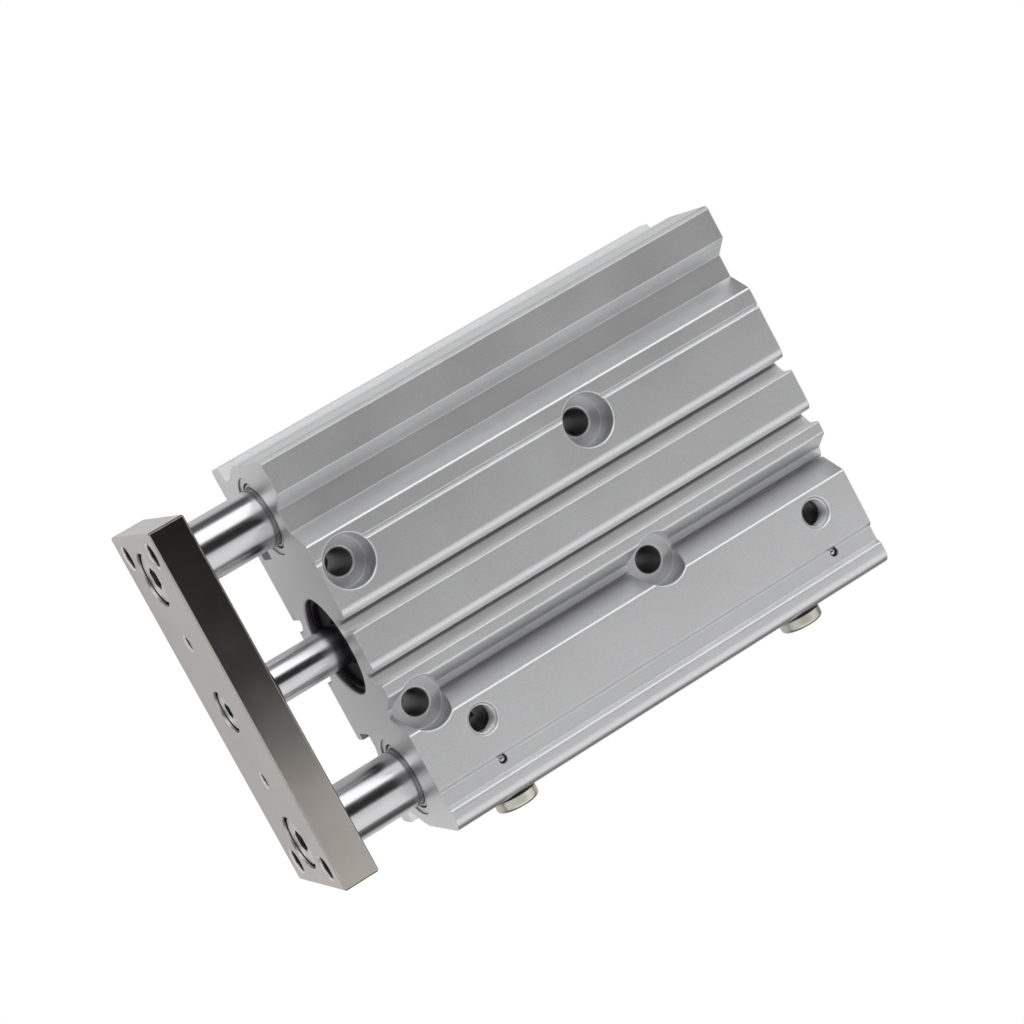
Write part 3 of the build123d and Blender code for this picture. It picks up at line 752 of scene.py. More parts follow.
@dataclass(frozen=True)
class AnodisedExtrusion(Finish):
    """Silver anodising over a blasted extrusion, with milled ends, painted shade in its holes, bores and
    slot floors, and matt sensor slots painted lighter.

    Attributes:
        milled: the colour of the sawn and milled end faces.
        end_facing: how far along the stroke a face looks from where the milled colour starts to full.
        die_lines: marks in a metre that the die leaves along the body.
        line_share: how high these marks stand, as a share of the grain.
        fine: the range of the grain that goes from the dull to the bright shade.
        broad: the same range of the patches.
        speckle: how much of the bright shade comes from the grain, and how much from the patches.
        shades: the dull and the bright shade, as shares of the main colour.
        recess_shade: the painted shade at the bottoms of the holes.
        recess_shade_reach: how near the walls are that make a place a hole's bottom.
        recess_shade_open: how open the most shaded place is, and the first unshaded one.
        slot_band: how far from the middle plane the sensor slots reach.
        slot_open: how open a place in that band is outside the slots, and inside them.
        matt_slot_light_color: the colour of the matt skin in the slots, which nothing rubs, painted near
            white as painted light.
        slot_metallic: how metallic that skin is.
        slot_roughness: how rough that skin is.
        slot_floor_shadow: the colour of the painted shadow along the slots' floors.
        slot_floors: the heights of the floors of the bottom and top slots.
        floor_shadow_height: how high over a floor the painted shadow is full, and where it ends.
        bores: the bores that get painted shade.
    """

    grain: float = 2600.0
    patches: float = 32.0
    relief: float = 0.012 * MM
    # bare and wear: rubbed corners, light enough to be also a painted highlight along them
    bare: Color = (0.92, 0.92, 0.93)
    wear: float = 0.8
    milled: Color = (0.80, 0.80, 0.81)
    end_facing: Span = (0.9, 0.98)
    die_lines: float = 1500.0
    line_share: float = 0.35
    fine: Span = (0.25, 0.75)
    broad: Span = (0.3, 0.7)
    speckle: Span = (0.82, 0.18)
    shades: Span = (0.86, 1.10)
    recess_shade: Color = (0.10, 0.10, 0.105)
    recess_shade_reach: float = 12.0 * MM
    recess_shade_open: Span = (0.02, 0.23)
    slot_band: float = 14.5 * MM
    slot_open: Span = (0.62, 0.42)
    matt_slot_light_color: Color = (0.95, 0.95, 0.95)
    slot_metallic: float = 0.1
    slot_roughness: float = 0.6
    slot_floor_shadow: Color = (0.24, 0.235, 0.24)
    slot_floors: Span = (7.4 * MM, 48.6 * MM)
    floor_shadow_height: Span = (0.3 * MM, 1.0 * MM)
    bores: Sequence[ShadedBore] = ()

    def height(self, graph: Graph, grain: Sockets) -> Socket:
        """Returns the height of the grain and the die's marks."""
        lines = DRAWN_LINES.use(graph, Lines=self.die_lines, Stretch=LineDirection.ALONG_STROKE.value)
        return graph.math("ADD", grain["Height"], graph.math("MULTIPLY", lines["Height"], self.line_share))

    def tint(self, graph: Graph, grain: Sockets) -> Socket:
        """Speckles the skin and lays the milled ends over it.

        Args:
            graph: the material's tree.
            grain: the outputs of the grain.

        Returns:
            The colour.
        """
        fine = graph.math("MULTIPLY", graph.spread(grain["Height"], *self.fine), self.speckle[0])
        broad = graph.math("MULTIPLY", graph.spread(grain["Patch"], *self.broad), self.speckle[1])
        dull, bright = (rgba(shaded(self.color, share)) for share in self.shades)
        patchy = graph.blend(graph.math("ADD", fine, broad), dull, bright)
        end_face = graph.spread(graph.math("ABSOLUTE", graph.parts(graph.facing())[0]), *self.end_facing)
        return graph.blend(end_face, patchy, rgba(self.milled))

    def paint_slot_light_and_shadow(self, graph: Graph, height: Socket) -> Socket:
        """Paints a shadow along the floors of the sensor slots, over their painted light.

        Args:
            graph: the material's tree.
            height: how high a place is.

        Returns:
            The colour inside the slots.
        """
        between = sum(self.slot_floors) / 2
        half = self.slot_floors[1] - between
        from_between = graph.math("ABSOLUTE", graph.math("SUBTRACT", height, between))
        # painted shadow along each floor, the slots' painted light above it
        unshaded = graph.spread(from_between, *(half + above for above in self.floor_shadow_height))
        return graph.blend(unshaded, rgba(self.slot_floor_shadow), rgba(self.matt_slot_light_color))

    def looks(self, graph: Graph) -> dict[str, SocketOrNumber]:
        """Adds the painted shade in the holes, the matt skin and painted light of the slots, and the painted
        shade in the bores.

        Args:
            graph: the material's tree.

        Returns:
            What each input of the shader gets.
        """
        looks = super().looks(graph)
        # painted shade: holes and grooves darken where walls stand near
        recessed = PAINTED_RECESS_SHADE.use(
            graph, Clean=looks["Base Color"], Grimy=rgba(self.recess_shade), Reach=self.recess_shade_reach,
            Closed=self.recess_shade_open[0], Open=self.recess_shade_open[1],
        )
        place = graph.place()
        folded = graph.vector("ABSOLUTE", place)
        _, aside, height = graph.parts(folded)
        in_band = graph.math("LESS_THAN", aside, self.slot_band)
        # painted light: sheltered places in the slot band get the matt skin in a lighter colour
        in_slot = graph.math("MULTIPLY", in_band, graph.spread(recessed["Open share"], *self.slot_open))
        color = graph.blend(in_slot, recessed["Color"], self.paint_slot_light_and_shadow(graph, height))
        for bore in self.bores:
            # painted shade inside the bores
            bore_shaded = BORE_SHADING.use(
                graph, Clean=color, Film=rgba(bore.film), Place=folded if bore.four_fold else place,
                Centre=bore.centre, Across=bore.across, Radius=bore.radius,
                Full_below=bore.full_below, None_above=bore.none_above,
            )
            color = bore_shaded["Color"]
        metallic = graph.spread(in_slot, 0.0, 1.0, self.metallic, self.slot_metallic)
        rough = graph.spread(in_slot, 0.0, 1.0, looks["Roughness"], self.slot_roughness)
        return looks | {"Base Color": color, "Metallic": metallic, "Roughness": rough}


@dataclass(frozen=True)
class GroundSteel(Finish):
    """Ground steel with fine marks, cloudy gloss and bright corners.

    Attributes:
        direction: which way the grinding marks run.
        lines: marks in a metre.
        cloud: the range of the patches that goes from one shade to the other.
    """

    patches: float = 55.0
    relief: float = 0.002 * MM
    shade: float = 0.93
    direction: LineDirection = LineDirection.AROUND_STROKE
    lines: float = 5000.0
    cloud: Span = (0.3, 0.7)
    bare: Color = (0.85, 0.84, 0.82)
    wear: float = 0.6

    def height(self, graph: Graph, grain: Sockets) -> Socket:
        """Returns the height of the grinding marks."""
        return DRAWN_LINES.use(graph, Lines=self.lines, Stretch=self.direction.value)["Height"]

    def tint(self, graph: Graph, grain: Sockets) -> Socket:
        """Returns the colour, in clouds of the two shades."""
        second = graph.spread(grain["Patch"], *self.cloud)
        return graph.blend(second, rgba(self.color), rgba(shaded(self.color, self.shade)))


@dataclass(frozen=True)
class SocketedSteel(GroundSteel):
    """Ground steel of a screw or plug, with painted shade inside its socket.

    Attributes:
        reach: how near the walls are that make a place part of the socket.
        socket_open: how open the darkest place is, and the first unshaded one.
        recess_shade: the painted shade at the socket's bottom.
    """

    reach: float = 3.0 * MM
    socket_open: Span = (0.45, 0.8)
    recess_shade: Color = (0.03, 0.028, 0.026)

    def looks(self, graph: Graph) -> dict[str, SocketOrNumber]:
        """Paints shade into the socket.

        Args:
            graph: the material's tree.

        Returns:
            What each input of the shader gets.
        """
        looks = super().looks(graph)
        # painted shade: the socket darkens where its walls stand near
        socket = PAINTED_RECESS_SHADE.use(
            graph, Clean=looks["Base Color"], Grimy=rgba(self.recess_shade), Reach=self.reach,
            Closed=self.socket_open[0], Open=self.socket_open[1],
        )
        return looks | {"Base Color": socket["Color"]}


@dataclass(frozen=True)
class NickelPlate(GroundSteel):
    """Satin nickel on the ground end plate, with dust on it, and on the walls of its holes painted light
    near the face and painted shade deep down.

    Attributes:
        plate: the node of the end plate.
        inset: how far inside the plate's box the walls of its holes lie, in each direction.
        dust: the colour of the specks of dust.
        dust_cells: cells in a metre that a speck may lie in.
        dust_share: the share of the cells that hold a speck.
        dust_roughness: how much rougher a speck is than the plate.
        bored: the colour of the walls of the holes near the face, partly their own bored finish, partly
            painted light as their highlight.
        bored_shade: their colour deep down, a painted shade.
        bored_shade_depths: the depths between which the first colour turns into the other.
        bored_roughness: how rough those walls are.
    """

    direction: LineDirection = LineDirection.ACROSS_PLATE
    plate: str = "end_plate"
    inset: Place = (0.02 * MM, 0.8 * MM, 0.8 * MM)
    dust: Color = (0.8, 0.79, 0.77)
    dust_cells: float = 240.0
    dust_share: float = 0.05
    dust_roughness: float = 0.5
    bored: Color = (0.86, 0.85, 0.83)
    bored_shade: Color = (0.045, 0.043, 0.04)
    bored_shade_depths: Span = (0.65 * MM, 1.1 * MM)
    bored_roughness: float = 0.42

    def looks(self, graph: Graph) -> dict[str, SocketOrNumber]:
        """Drops dust on the plate, and paints light and shade on the walls of its holes.

        Args:
            graph: the material's tree.

        Returns:
            What each input of the shader gets.
        """
        looks = super().looks(graph)
        specks = DUST_SPECKS.use(graph, Cells=self.dust_cells, Share=self.dust_share)["Mask"]
        dusty = graph.blend(specks, looks["Base Color"], rgba(self.dust))
        rougher = graph.math("MULTIPLY", specks, self.dust_roughness)
        rough = graph.math("ADD", looks["Roughness"], rougher, clamp=True)
        low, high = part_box(self.plate)
        middle = tuple((near + far) / 2 for near, far in zip(low, high))
        reach = tuple((far - near) / 2 - less for near, far, less in zip(low, high, self.inset))
        walls = INSIDE_BLOCK.use(graph, Middle=middle, Reach=reach)["Mask"]
        along = graph.parts(graph.place())[0]
        from_middle = graph.math("ABSOLUTE", graph.math("SUBTRACT", along, middle[0]))
        shallow, deep = self.bored_shade_depths
        # painted highlight on the walls near the face, painted shade deeper down
        unshaded = graph.spread(from_middle, reach[0] - deep, reach[0] - shallow)
        bored = graph.blend(unshaded, rgba(self.bored_shade), rgba(self.bored))
        color = graph.blend(walls, dusty, bored)
        return looks | {
            "Base Color": color, "Roughness": graph.spread(walls, 0.0, 1.0, rough, self.bored_roughness),
        }


@dataclass(frozen=True)
class PolishedChrome(Finish):
    """Hard chrome on a ground rod, with fine marks around it and faint smears.

    Attributes:
        lines: marks in a metre.
    """

    grain: float = 900.0
    patches: float = 90.0
    relief: float = 0.0006 * MM
    shade: float = 0.95
    lines: float = 2600.0

    def height(self, graph: Graph, grain: Sockets) -> Socket:
        """Returns the height of the marks around the rod."""
        return DRAWN_LINES.use(graph, Lines=self.lines, Stretch=LineDirection.AROUND_STROKE.value)["Height"]


@dataclass(frozen=True)
class TurnedMetal(Finish):
    """Metal turned on a lathe about the cylinder's axis.

    Attributes:
        centre: a point on the axis.
        rings: rings in a metre.
    """

    grain: float = 2200.0
    patches: float = 120.0
    relief: float = 0.004 * MM
    shade: float = 0.88
    centre: Place = (0.0, 0.0, 29.0 * MM)
    rings: float = 3000.0
    bare: Color = (0.7, 0.7, 0.7)
    wear: float = 0.4

    def height(self, graph: Graph, grain: Sockets) -> Socket:
        """Returns the height of the rings."""
        return TURNED_RINGS.use(graph, Centre=self.centre, Rings=self.rings)["Height"]


@dataclass(frozen=True)
class MouldedPolymer(Finish):
    """Moulded rubber, urethane, plastic or a bonded magnet, with a fine matt skin."""

    metallic: float = 0.0
    patches: float = 150.0
    shade: float = 0.8


@dataclass(frozen=True)
class CasedRubber(MouldedPolymer):
    """Seal rubber, which the wipers of the guide rods wear inside a thin steel case.

    Attributes:
        rod: the node of the guide rod on the +Y side.
        lip_width: how much of the wiper shows rubber beside the rod.
        case_width: how far from the rod the case reaches.
        case: the colour of the case.
    """

    rod: str = "guide_rod_port_side"
    lip_width: float = 0.35 * MM
    case_width: float = 4.0 * MM
    case: Color = (0.60, 0.60, 0.61)

    def looks(self, graph: Graph) -> dict[str, SocketOrNumber]:
        """Lays the case over the rubber, beyond the lip.

        Args:
            graph: the material's tree.

        Returns:
            What each input of the shader gets.
        """
        looks = super().looks(graph)
        low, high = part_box(self.rod)
        centre = (0.0, (low[1] + high[1]) / 2, (low[2] + high[2]) / 2)
        radius = (high[2] - low[2]) / 2
        folded = graph.vector("ABSOLUTE", graph.place())
        distance = AXIS_DISTANCE.use(graph, Place=folded, Centre=centre)["Distance"]
        beyond_lip = graph.math("GREATER_THAN", distance, radius + self.lip_width)
        within_case = graph.math("LESS_THAN", distance, radius + self.case_width)
        cased = graph.math("MULTIPLY", beyond_lip, within_case)
        color = graph.blend(cased, looks["Base Color"], rgba(self.case))
        return looks | {"Base Color": color, "Metallic": cased}


@dataclass(frozen=True)
class OiledFelt(Finish):
    """Pressed wool felt, dark where the oil has soaked in.

    Attributes:
        oiled: the colour of soaked felt.
        soaked: the range of the patches that goes from dry to soaked.
    """

    metallic: float = 0.0
    grain: float = 3200.0
    patches: float = 200.0
    relief: float = 0.08 * MM
    oiled: Color = (0.28, 0.23, 0.14)
    soaked: Span = (0.4, 0.6)

    def tint(self, graph: Graph, grain: Sockets) -> Socket:
        """Returns the colour of the dry and the soaked felt."""
        return graph.blend(graph.spread(grain["Patch"], *self.soaked), rgba(self.color), rgba(self.oiled))


@dataclass(frozen=True)
class SinteredBronze(Finish):
    """Porous bronze, with oil in its pores.

    Attributes:
        pore: the colour of the pores.
        pore_grain: the height of the grain at a pore's edge, and where the pore is fully open.
    """

    grain: float = 2400.0
    patches: float = 130.0
    relief: float = 0.02 * MM
    pore: Color = (0.14, 0.09, 0.045)
    pore_grain: Span = (0.36, 0.3)

    def height(self, graph: Graph, grain: Sockets) -> Socket:
        """Returns the height of the metal, with pores in it."""
        return graph.math("SUBTRACT", 1.0, graph.spread(grain["Height"], *self.pore_grain))

    def tint(self, graph: Graph, grain: Sockets) -> Socket:
        """Returns the colour of the metal and its pores."""
        open_pores = graph.spread(grain["Height"], *self.pore_grain)
        return graph.blend(open_pores, rgba(self.color), rgba(self.pore))


def mount(name: str) -> dict[str, Any]:
    """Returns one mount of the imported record."""
    return next(m for m in frame["record"]["mounts"] if m["name"] == name)


def body_bores() -> list[ShadedBore]:
    """Finds the bores of the body that get painted shade.

    Returns:
        The mounting holes, the bore of the chamber and the two air ports.
    """
    upright: Place = (1.0, 1.0, 0.0)
    along_stroke: Place = (0.0, 1.0, 1.0)
    # painted shade: dark in the chamber's bore, lighter in the mounting holes and ports
    chamber_shade: Color = (0.19, 0.175, 0.195)
    hole_shade: Color = (0.54, 0.535, 0.54)
    hole_radius = 4.45 * MM
    chamber_radius = 17.3 * MM
    port_radius = 4.95 * MM
    shading_full = 40.0 * MM
    shading_none = 50.0 * MM
    spacing = mount("top_holes")["dims"]
    hole = (0.5 * MM * spacing["spacing_x_mm"], 0.5 * MM * spacing["spacing_y_mm"], 0.0)
    chamber = (0.0, 0.0, mount("rear_threads")["pos_m"][2])
    bores = [
        ShadedBore(hole, upright, hole_radius, hole_shade, four_fold=True),
        ShadedBore(chamber, along_stroke, chamber_radius, chamber_shade),
    ]
    for name in PORTS:
        port = (*mount(name)["pos_m"][:2], 0.0)
        bore = ShadedBore(port, upright, port_radius, hole_shade, full_below=shading_full, none_above=shading_none)
        bores.append(bore)
    return bores


def all_finishes() -> Sequence[Finish]:
    """Lists the finishes of the cylinder.

    Returns:
        One finish for each material slot of the record.
    """
    return (
        AnodisedExtrusion(
            "anodised_body", (0.74, 0.742, 0.752), (0.36, 0.44), metallic=0.92, edge_radius=0.45 * MM,
            bores=body_bores(),
        ),
        NickelPlate("plate_nickel", (0.47, 0.435, 0.405), (0.13, 0.20), edge_radius=0.3 * MM),
        PolishedChrome("rod_chrome", (0.64, 0.64, 0.655), (0.17, 0.23), edge_radius=0.1 * MM),
        SocketedSteel("screw_steel", (0.66, 0.64, 0.60), (0.18, 0.30), edge_radius=0.15 * MM),
        SocketedSteel(
            "plug_nickel", (0.66, 0.65, 0.58), (0.28, 0.42), direction=LineDirection.ALONG_STROKE,
            reach=2.5 * MM,
        ),
        GroundSteel("ring_steel", (0.72, 0.72, 0.73), (0.28, 0.40), edge_radius=0.15 * MM),
        TurnedMetal("spring_black", (0.075, 0.066, 0.078), (0.5, 0.65), bare=(0.08, 0.08, 0.08)),
        TurnedMetal("cover_black", (0.034, 0.030, 0.036), (0.55, 0.7), bare=(0.06, 0.06, 0.065)),
        TurnedMetal("piston_aluminium", (0.70, 0.70, 0.71), (0.25, 0.4), bare=(0.85, 0.85, 0.86)),
        SinteredBronze("bush_bronze", (0.50, 0.34, 0.17), (0.3, 0.45)),
        OiledFelt("lube_felt", (0.55, 0.49, 0.37), (0.85, 0.98)),
        CasedRubber("seal_rubber", (0.018, 0.018, 0.019), (0.35, 0.5)),
        MouldedPolymer("bumper_urethane", (0.48, 0.26, 0.06), (0.35, 0.5), shade=0.7),
        MouldedPolymer("magnet_rubber", (0.055, 0.05, 0.048), (0.6, 0.75)),
        MouldedPolymer("wear_plastic", (0.10, 0.14, 0.12), (0.4, 0.55)),
    )


@dataclass
class Finishes:
    """Makes each finish once and hands out its material."""

    finishes: Sequence[Finish]
    materials: dict[str, bpy.types.Material] = field(default_factory=dict)

    def __post_init__(self) -> None:
        """Makes every material."""
        for finish in self.finishes:
            self.materials[finish.slot] = finish.material()

    def dress(self, piece: bpy.types.Object, slot: str) -> None:
        """Puts a finish on all of a piece's material slots.

        Args:
            piece: a CAD node or a piece of the scene.
            slot: the record's material slot.
        """
        if not piece.material_slots:
            piece.data.materials.append(self.materials[slot])
        for material_slot in piece.material_slots:
            material_slot.material = self.materials[slot]


@dataclass(frozen=True)
class ThreadForm:
    """The section of a cut thread.

    Attributes:
        major: the radius at the thread's roots, which is the plain bore's radius.
        pitch: the rise in one turn.
        depth: how far the crests stand in from the roots.
        crest_share: the width of a crest, as a share of the pitch.
        root_share: the width of a ridge at its root, as a share of the pitch.
        embed: how far a ridge reaches into the wall behind its root.
    """

    major: float
    pitch: float
    depth: float
    crest_share: float = 0.16
    root_share: float = 0.84
    embed: float = 0.05 * MM

    def section(self) -> list[tuple[float, float]]:
        """Works out the section of a ridge.

        Returns:
            Its corners, each as its radius and its place along the axis.
        """
        root = self.root_share * self.pitch / 2
        crest = self.crest_share * self.pitch / 2
        inner = self.major - self.depth
        outer = self.major + self.embed
        return [(outer, -root), (inner, -crest), (inner, crest), (outer, root)]


PORT_THREAD = ThreadForm(4.86 * MM, 0.907 * MM, 0.55 * MM)
M8_THREAD = ThreadForm(4.0 * MM, 1.25 * MM, 0.62 * MM)
M10_THREAD = ThreadForm(5.0 * MM, 1.5 * MM, 0.75 * MM)


@dataclass
class CutThreads:
    """The threads inside a set of like holes, made as one piece.

    Attributes:
        name: the piece's name.
        body: the body that the holes are in.
        slot: the record's material slot.
        form: the section of the thread.
        mouths: the middle of each hole's mouth.
        inward: the direction from the mouths into the material.
        start: how far in the thread starts.
        length: how long the thread is.
        steps: points in one turn.
    """

    name: str
    body: Body
    slot: str
    form: ThreadForm
    mouths: Sequence[Vector]
    inward: Vector
    start: float
    length: float
    steps: int = 40

    def add_ridge(self, mesh: bmesh.types.BMesh, mouth: Vector) -> None:
        """Sweeps one ridge around a hole's axis.

        Args:
            mesh: the mesh that the ridge is added to.
            mouth: the middle of the hole's mouth.
        """
        turn = self.inward.to_track_quat("Z", "X").to_matrix()
        section = self.form.section()
        run = self.length - self.form.pitch
        count = max(2, round(self.steps * run / self.form.pitch))
        rings = []
        for step in range(count + 1):
            angle = 2 * math.pi * step / self.steps
            rise = self.start + self.form.pitch / 2 + run * step / count
            ring = []
            for radius, along in section:
                local = Vector((radius * math.cos(angle), radius * math.sin(angle), rise + along))
                ring.append(mesh.verts.new(mouth + turn @ local))
            rings.append(ring)
        for near, far in zip(rings, rings[1:]):
            for corner in range(len(section)):
                after = (corner + 1) % len(section)
                mesh.faces.new((near[corner], near[after], far[after], far[corner]))
        mesh.faces.new(list(reversed(rings[0])))
        mesh.faces.new(rings[-1])

    def build(self, finishes: Finishes) -> bpy.types.Object:
        """Makes the piece, dresses it and puts it on its body.

        Args:
            finishes: where its material comes from.

        Returns:
            The piece.
        """
        mesh = bmesh.new()
        for mouth in self.mouths:
            self.add_ridge(mesh, mouth)
        bmesh.ops.recalc_face_normals(mesh, faces=mesh.faces[:])
        data = bpy.data.meshes.new(self.name)
        mesh.to_mesh(data)
        mesh.free()
        piece = shown(self.name, data)
        finishes.dress(piece, self.slot)
        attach(piece, self.body.value)
        return piece


def pattern_places(name: str) -> list[Vector]:
    """Works out where the holes of a rectangular bolt pattern are.

    Args:
        name: the mount's name.

    Returns:
        The middle of each hole's mouth.
    """
    stated = mount(name)
    middle = Vector(stated["pos_m"])
    first = 0.5 * MM * stated["dims"]["spacing_x_mm"]
    second = 0.5 * MM * stated["dims"]["spacing_y_mm"]
    along_x = abs(stated["axis"][0]) > abs(stated["axis"][2])
    across = (Vector((0, 1, 0)), Vector((0, 0, 1))) if along_x else (Vector((1, 0, 0)), Vector((0, 1, 0)))
    return [middle + a * first * across[0] + b * second * across[1] for a in (-1, 1) for b in (-1, 1)]


@dataclass
class SubAssembly:
    """A group of CAD nodes that belong together, with the pieces that the scene adds to them.

    Attributes:
        label: the group's name in the log.
        nodes: the CAD nodes.
    """

    label: str
    nodes: Sequence[str]

    def details(self) -> Iterable[CutThreads]:
        """Returns the pieces that the scene adds."""
        return ()

    def build(self, finishes: Finishes) -> None:
        """Dresses the nodes and builds the added pieces.

        Args:
            finishes: where the materials come from.
        """
        slots = {part["node"]: part["material_slot"] for part in frame["record"]["subparts"]}
        for node in self.nodes:
            finishes.dress(frame["nodes"][node], slots[node])
        for detail in self.details():
            piece = detail.build(finishes)
            log.info("%s: added %s with %d faces", self.label, piece.name, len(piece.data.polygons))
        log.info("%s: dressed %d nodes", self.label, len(self.nodes))


@dataclass
class HousingBlock(SubAssembly):
    """The extruded body with its blanking plugs and the threads cut into it.

    Attributes:
        thread_lead: the plain stretch before a thread starts.
        port_thread_length: how deep the port threads go.
        base_thread_length: how deep the threads in the bottom face go.
        rear_thread_length: how deep the threads in the rear face go.
    """

    label: str = "housing block"
    nodes: Sequence[str] = ("body", "sealing_balls", "side_port_plugs", "side_plug_seals")
    thread_lead: float = 0.6 * MM
    port_thread_length: float = 7.6 * MM
    base_thread_length: float = 18.0 * MM
    rear_thread_length: float = 14.0 * MM

    def details(self) -> Iterable[CutThreads]:
        """Lists the threads cut into the body.

        Returns:
            Those of the ports, the bottom face and the rear face.
        """
        ports = [Vector((*mount(name)["pos_m"][:2], cad_high.z)) for name in PORTS]
        base, rear = (pattern_places(name) for name in ("base_threads", "rear_threads"))
        for name, form, mouths, inward, length in (
            ("port_threads", PORT_THREAD, ports, Vector((0, 0, -1)), self.port_thread_length),
            ("base_threads", M10_THREAD, base, Vector((0, 0, 1)), self.base_thread_length),
            ("rear_threads", M8_THREAD, rear, Vector((1, 0, 0)), self.rear_thread_length),
        ):
            yield CutThreads(
                name, Body.HOUSING, "anodised_body", form, mouths, inward, self.thread_lead, length,
            )


@dataclass
class CoverSet(SubAssembly):
    """The two covers of the chamber, with their seals, bush, bumpers and snap rings."""

    label: str = "covers"
    nodes: Sequence[str] = (
        "rod_cover", "rod_cover_o_ring", "rod_cover_snap_ring", "rod_seal", "rod_bush", "front_bumper",
        "head_cover", "head_cover_o_ring", "head_cover_snap_ring", "rear_bumper",
    )


@dataclass
class GuideBearings(SubAssembly):
    """The bushes, felts, wipers and retaining rings of both guide rods."""

    label: str = "guide bearings"
    nodes: Sequence[str] = tuple(
        f"guide_{piece}_{side}"
        for side in ("port_side", "plain_side")
        for piece in ("bush_front", "bush_rear", "felt", "wiper", "retainer")
    )


@dataclass
class PistonSet(SubAssembly):
    """The piston with its rings, magnet and fastening."""

    label: str = "piston"
    nodes: Sequence[str] = (
        "piston", "piston_wear_ring", "piston_seal", "piston_magnet", "piston_washer", "piston_screw",
    )


@dataclass
class PlateSet(SubAssembly):
    """The end plate with the three rods, their screws and the threads cut into the plate.

    Attributes:
        thread_lead: the plain stretch before a thread starts.
    """

    label: str = "plate and rods"
    nodes: Sequence[str] = (
        "end_plate", "piston_rod", "guide_rod_port_side", "guide_rod_plain_side", "guide_rod_screws",
        "piston_rod_screw",
    )
    thread_lead: float = 0.5 * MM

    def details(self) -> Iterable[CutThreads]:
        """Returns the threads of the plate's four corner holes."""
        low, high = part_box("end_plate")
        yield CutThreads(
            "plate_threads", Body.SLIDE, "plate_nickel", M8_THREAD, pattern_places("plate_threads"),
            Vector((-1, 0, 0)), self.thread_lead, high[0] - low[0] - 2 * self.thread_lead,
        )


@dataclass(frozen=True)
class Softbox:
    """A rectangular lamp that faces the object.

    Attributes:
        name: the lamp's name.
        tilt: degrees from straight up, towards +Y, of the lamp's middle.
        spread: degrees that the lamp covers in that direction.
        distance: metres from the object.
        radiance: how bright the lamp's face is, where 1 is white.
        length: metres along X.
        centre_x: the middle along X.
    """

    name: str
    tilt: float
    spread: float
    distance: float
    radiance: float
    length: float = 1.7
    centre_x: float = -0.1

    def build(self) -> None:
        """Makes the lamp and aims it at the object."""
        tilt = math.radians(self.tilt)
        height = 2 * self.distance * math.tan(math.radians(self.spread) / 2)
        data = bpy.data.lights.new(self.name, "AREA")
        data.shape = "RECTANGLE"
        data.size = self.length
        data.size_y = height
        data.energy = self.radiance * math.pi * self.length * height
        lamp = shown(self.name, data)
        lamp.location = (self.centre_x, self.distance * math.sin(tilt), self.distance * math.cos(tilt))
        lamp.rotation_euler = Euler((-tilt, 0.0, 0.0))
        lamp.visible_camera = False


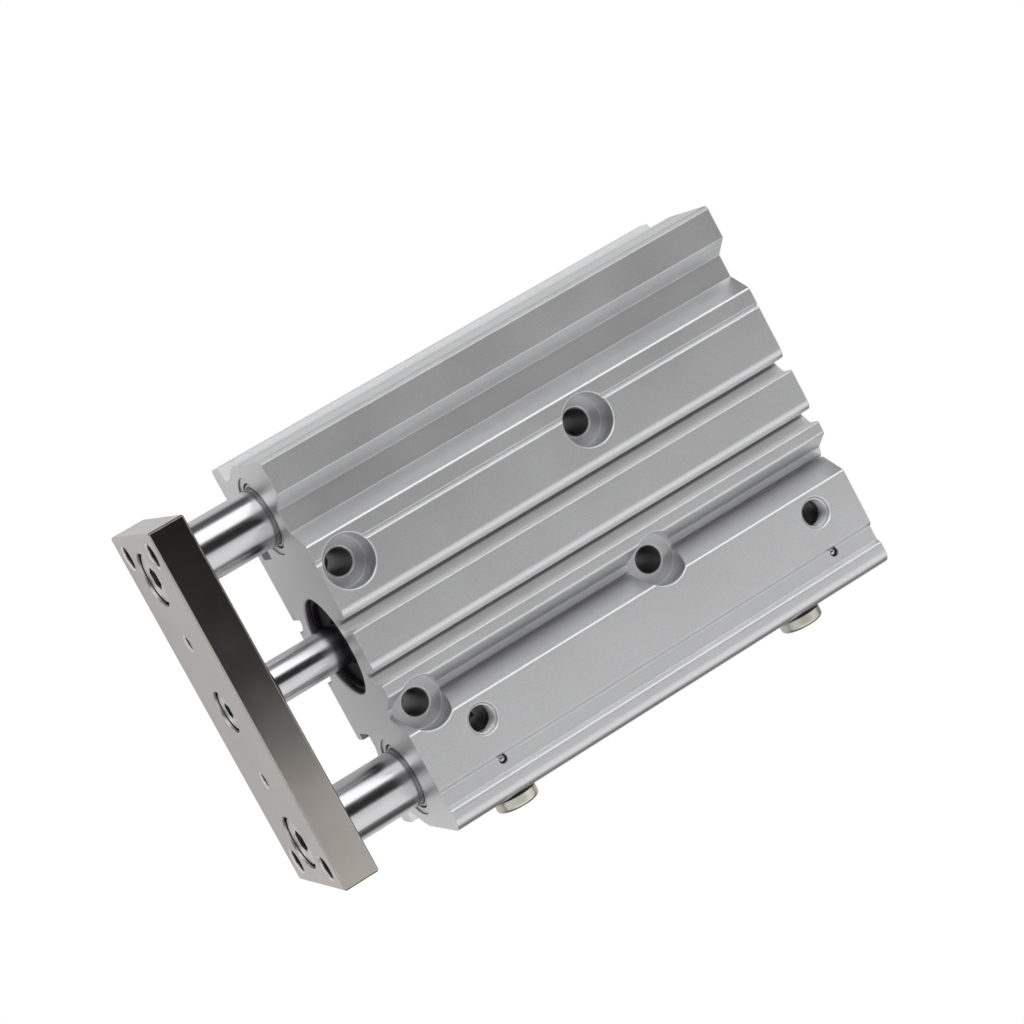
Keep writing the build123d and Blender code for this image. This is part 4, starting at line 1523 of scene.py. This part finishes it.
@dataclass
class Studio:
    """The floor, the world, the lamps and the camera.

    Attributes:
        lamps: the softboxes.
        room_level: how bright the dark room around the lamps is.
        overhead_level: how bright the room is straight above.
        overhead: how steeply up the room starts to darken, and where it has.
        end_level: how much brighter the room is at both ends of the stroke.
        ends: how far along the stroke the room starts to brighten, and where it has.
        floor_size: the floor's half width.
        floor_gap: how far the floor lies under the object.
        floor_color: the colour of the sheet near the object.
        far_floor_color: the colour of the table around it.
        backdrop_share: how much of the white backdrop the metal shows near the object.
        sheet_edge: how far beside the object the sheet starts to darken, and where it has.
        sheet_ahead: how much further the sheet reaches in front, where the plate moves to.
        sensor: the sensor's width, in millimetres.
        lens: the focal length, in millimetres.
        clip_start: how near the camera a thing may be and still show.
        location: the camera's place.
        rotation: the camera's turn, in radians.
    """

    lamps: Sequence[Softbox] = (
        Softbox("plain_side_softbox", tilt=-54.0, spread=44.0, distance=0.9, radiance=1.5),
        Softbox("port_side_softbox", tilt=42.0, spread=62.0, distance=0.8, radiance=0.85),
    )
    room_level: float = 0.16
    overhead_level: float = 0.015
    overhead: Span = (0.75, 0.93)
    end_level: float = 0.7
    ends: Span = (0.6, 0.85)
    floor_size: float = 6.0
    floor_gap: float = 0.05 * MM
    floor_color: Color = (0.9, 0.9, 0.9)
    far_floor_color: Color = (0.12, 0.12, 0.12)
    backdrop_share: float = 0.4
    sheet_edge: Span = (0.02, 0.09)
    sheet_ahead: float = 0.1075
    sensor: float = 36.0
    lens: float = 112.53
    clip_start: float = 0.01
    location: Place = (0.302448, -0.149658, 0.991511)
    rotation: Place = (0.035747, -0.347330, 2.620799)

    def beside_object(self, graph: Graph) -> Socket:
        """Measures how far beside the object, and beside where its plate moves to, a place lies.

        Args:
            graph: the floor material's tree.

        Returns:
            The distance, which is below 0 under the object.
        """
        sheet_high = cad_high + Vector((self.sheet_ahead, 0.0, 0.0))
        middle = (cad_low + sheet_high) / 2
        reach = (sheet_high - cad_low) / 2
        place = graph.parts(graph.place())
        beside = []
        for axis in (0, 1):
            offset = graph.math("ABSOLUTE", graph.math("SUBTRACT", place[axis], middle[axis]))
            beside.append(graph.math("SUBTRACT", offset, reach[axis]))
        return graph.math("MAXIMUM", *beside)

    def build_floor(self) -> None:
        """Makes the floor: plain white to the camera, and a pale sheet on a dark table to the metal."""
        half = self.floor_size
        corners = [(-half, -half, 0.0), (half, -half, 0.0), (half, half, 0.0), (-half, half, 0.0)]
        data = bpy.data.meshes.new("studio_floor")
        data.from_pydata(corners, [], [(0, 1, 2, 3)])
        made = bpy.data.materials.new("studio_floor_white")
        graph = empty_graph(made)
        far = graph.spread(self.beside_object(graph), *self.sheet_edge, smooth=True)
        color = graph.blend(far, rgba(self.floor_color), rgba(self.far_floor_color))
        lit = graph.add("ShaderNodeBsdfDiffuse", {"Color": color})
        white = graph.add("ShaderNodeEmission", {"Color": rgba(WHITE), "Strength": 1.0})
        rays = graph.add("ShaderNodeLightPath").outputs
        mirrored = graph.math("MAXIMUM", rays["Is Glossy Ray"], rays["Is Transmission Ray"])
        near_share = graph.math("MULTIPLY", graph.math("SUBTRACT", 1.0, far), self.backdrop_share)
        share = graph.math("MAXIMUM", rays["Is Camera Ray"], graph.math("MULTIPLY", mirrored, near_share))
        mixed = graph.add("ShaderNodeMixShader", {0: share, 1: lit.outputs[0], 2: white.outputs[0]})
        graph.add("ShaderNodeOutputMaterial", {"Surface": mixed.outputs[0]})
        data.materials.append(made)
        floor = shown("studio_floor", data)
        floor.location.z = -self.floor_gap

    def build_world(self) -> None:
        """Makes the room: white to the camera, and to the metal dark with a darker ceiling."""
        world = bpy.data.worlds.new("studio_room")
        graph = empty_graph(world)
        along, _, up = graph.parts(graph.add("ShaderNodeTexCoord").outputs["Generated"])
        walls = graph.spread(up, *self.overhead, self.room_level, self.overhead_level, smooth=True)
        brighter = graph.spread(graph.math("ABSOLUTE", along), *self.ends, 0.0, self.end_level, smooth=True)
        level = graph.math("ADD", walls, brighter)
        room = graph.add("ShaderNodeBackground", {"Color": rgba(WHITE), "Strength": level})
        white = graph.add("ShaderNodeBackground", {"Color": rgba(WHITE), "Strength": 1.0})
        direct = graph.add("ShaderNodeLightPath").outputs["Is Camera Ray"]
        mixed = graph.add("ShaderNodeMixShader", {0: direct, 1: room.outputs[0], 2: white.outputs[0]})
        graph.add("ShaderNodeOutputWorld", {"Surface": mixed.outputs[0]})
        bpy.context.scene.world = world

    def build_camera(self) -> None:
        """Places the camera where the photograph was taken."""
        data = bpy.data.cameras.new("photo_camera")
        data.sensor_width = self.sensor
        data.lens = self.lens
        data.clip_start = self.clip_start
        camera = shown("photo_camera", data)
        camera.location = self.location
        camera.rotation_euler = Euler(self.rotation)
        bpy.context.scene.camera = camera

    def build(self) -> None:
        """Makes everything around the object."""
        self.build_floor()
        self.build_world()
        for lamp in self.lamps:
            lamp.build()
        self.build_camera()
        bpy.context.scene.view_settings.view_transform = "Standard"
        log.info("studio: floor, world, %d lamps and camera", len(self.lamps))


def main() -> None:
    """Builds the studio and every sub-assembly in order."""
    logging.basicConfig(level=logging.INFO, format="%(name)s %(message)s")
    Studio().build()
    finishes = Finishes(all_finishes())
    for group in (HousingBlock(), CoverSet(), GuideBearings(), PistonSet(), PlateSet()):
        group.build(finishes)


if __name__ == "__main__":
    main()
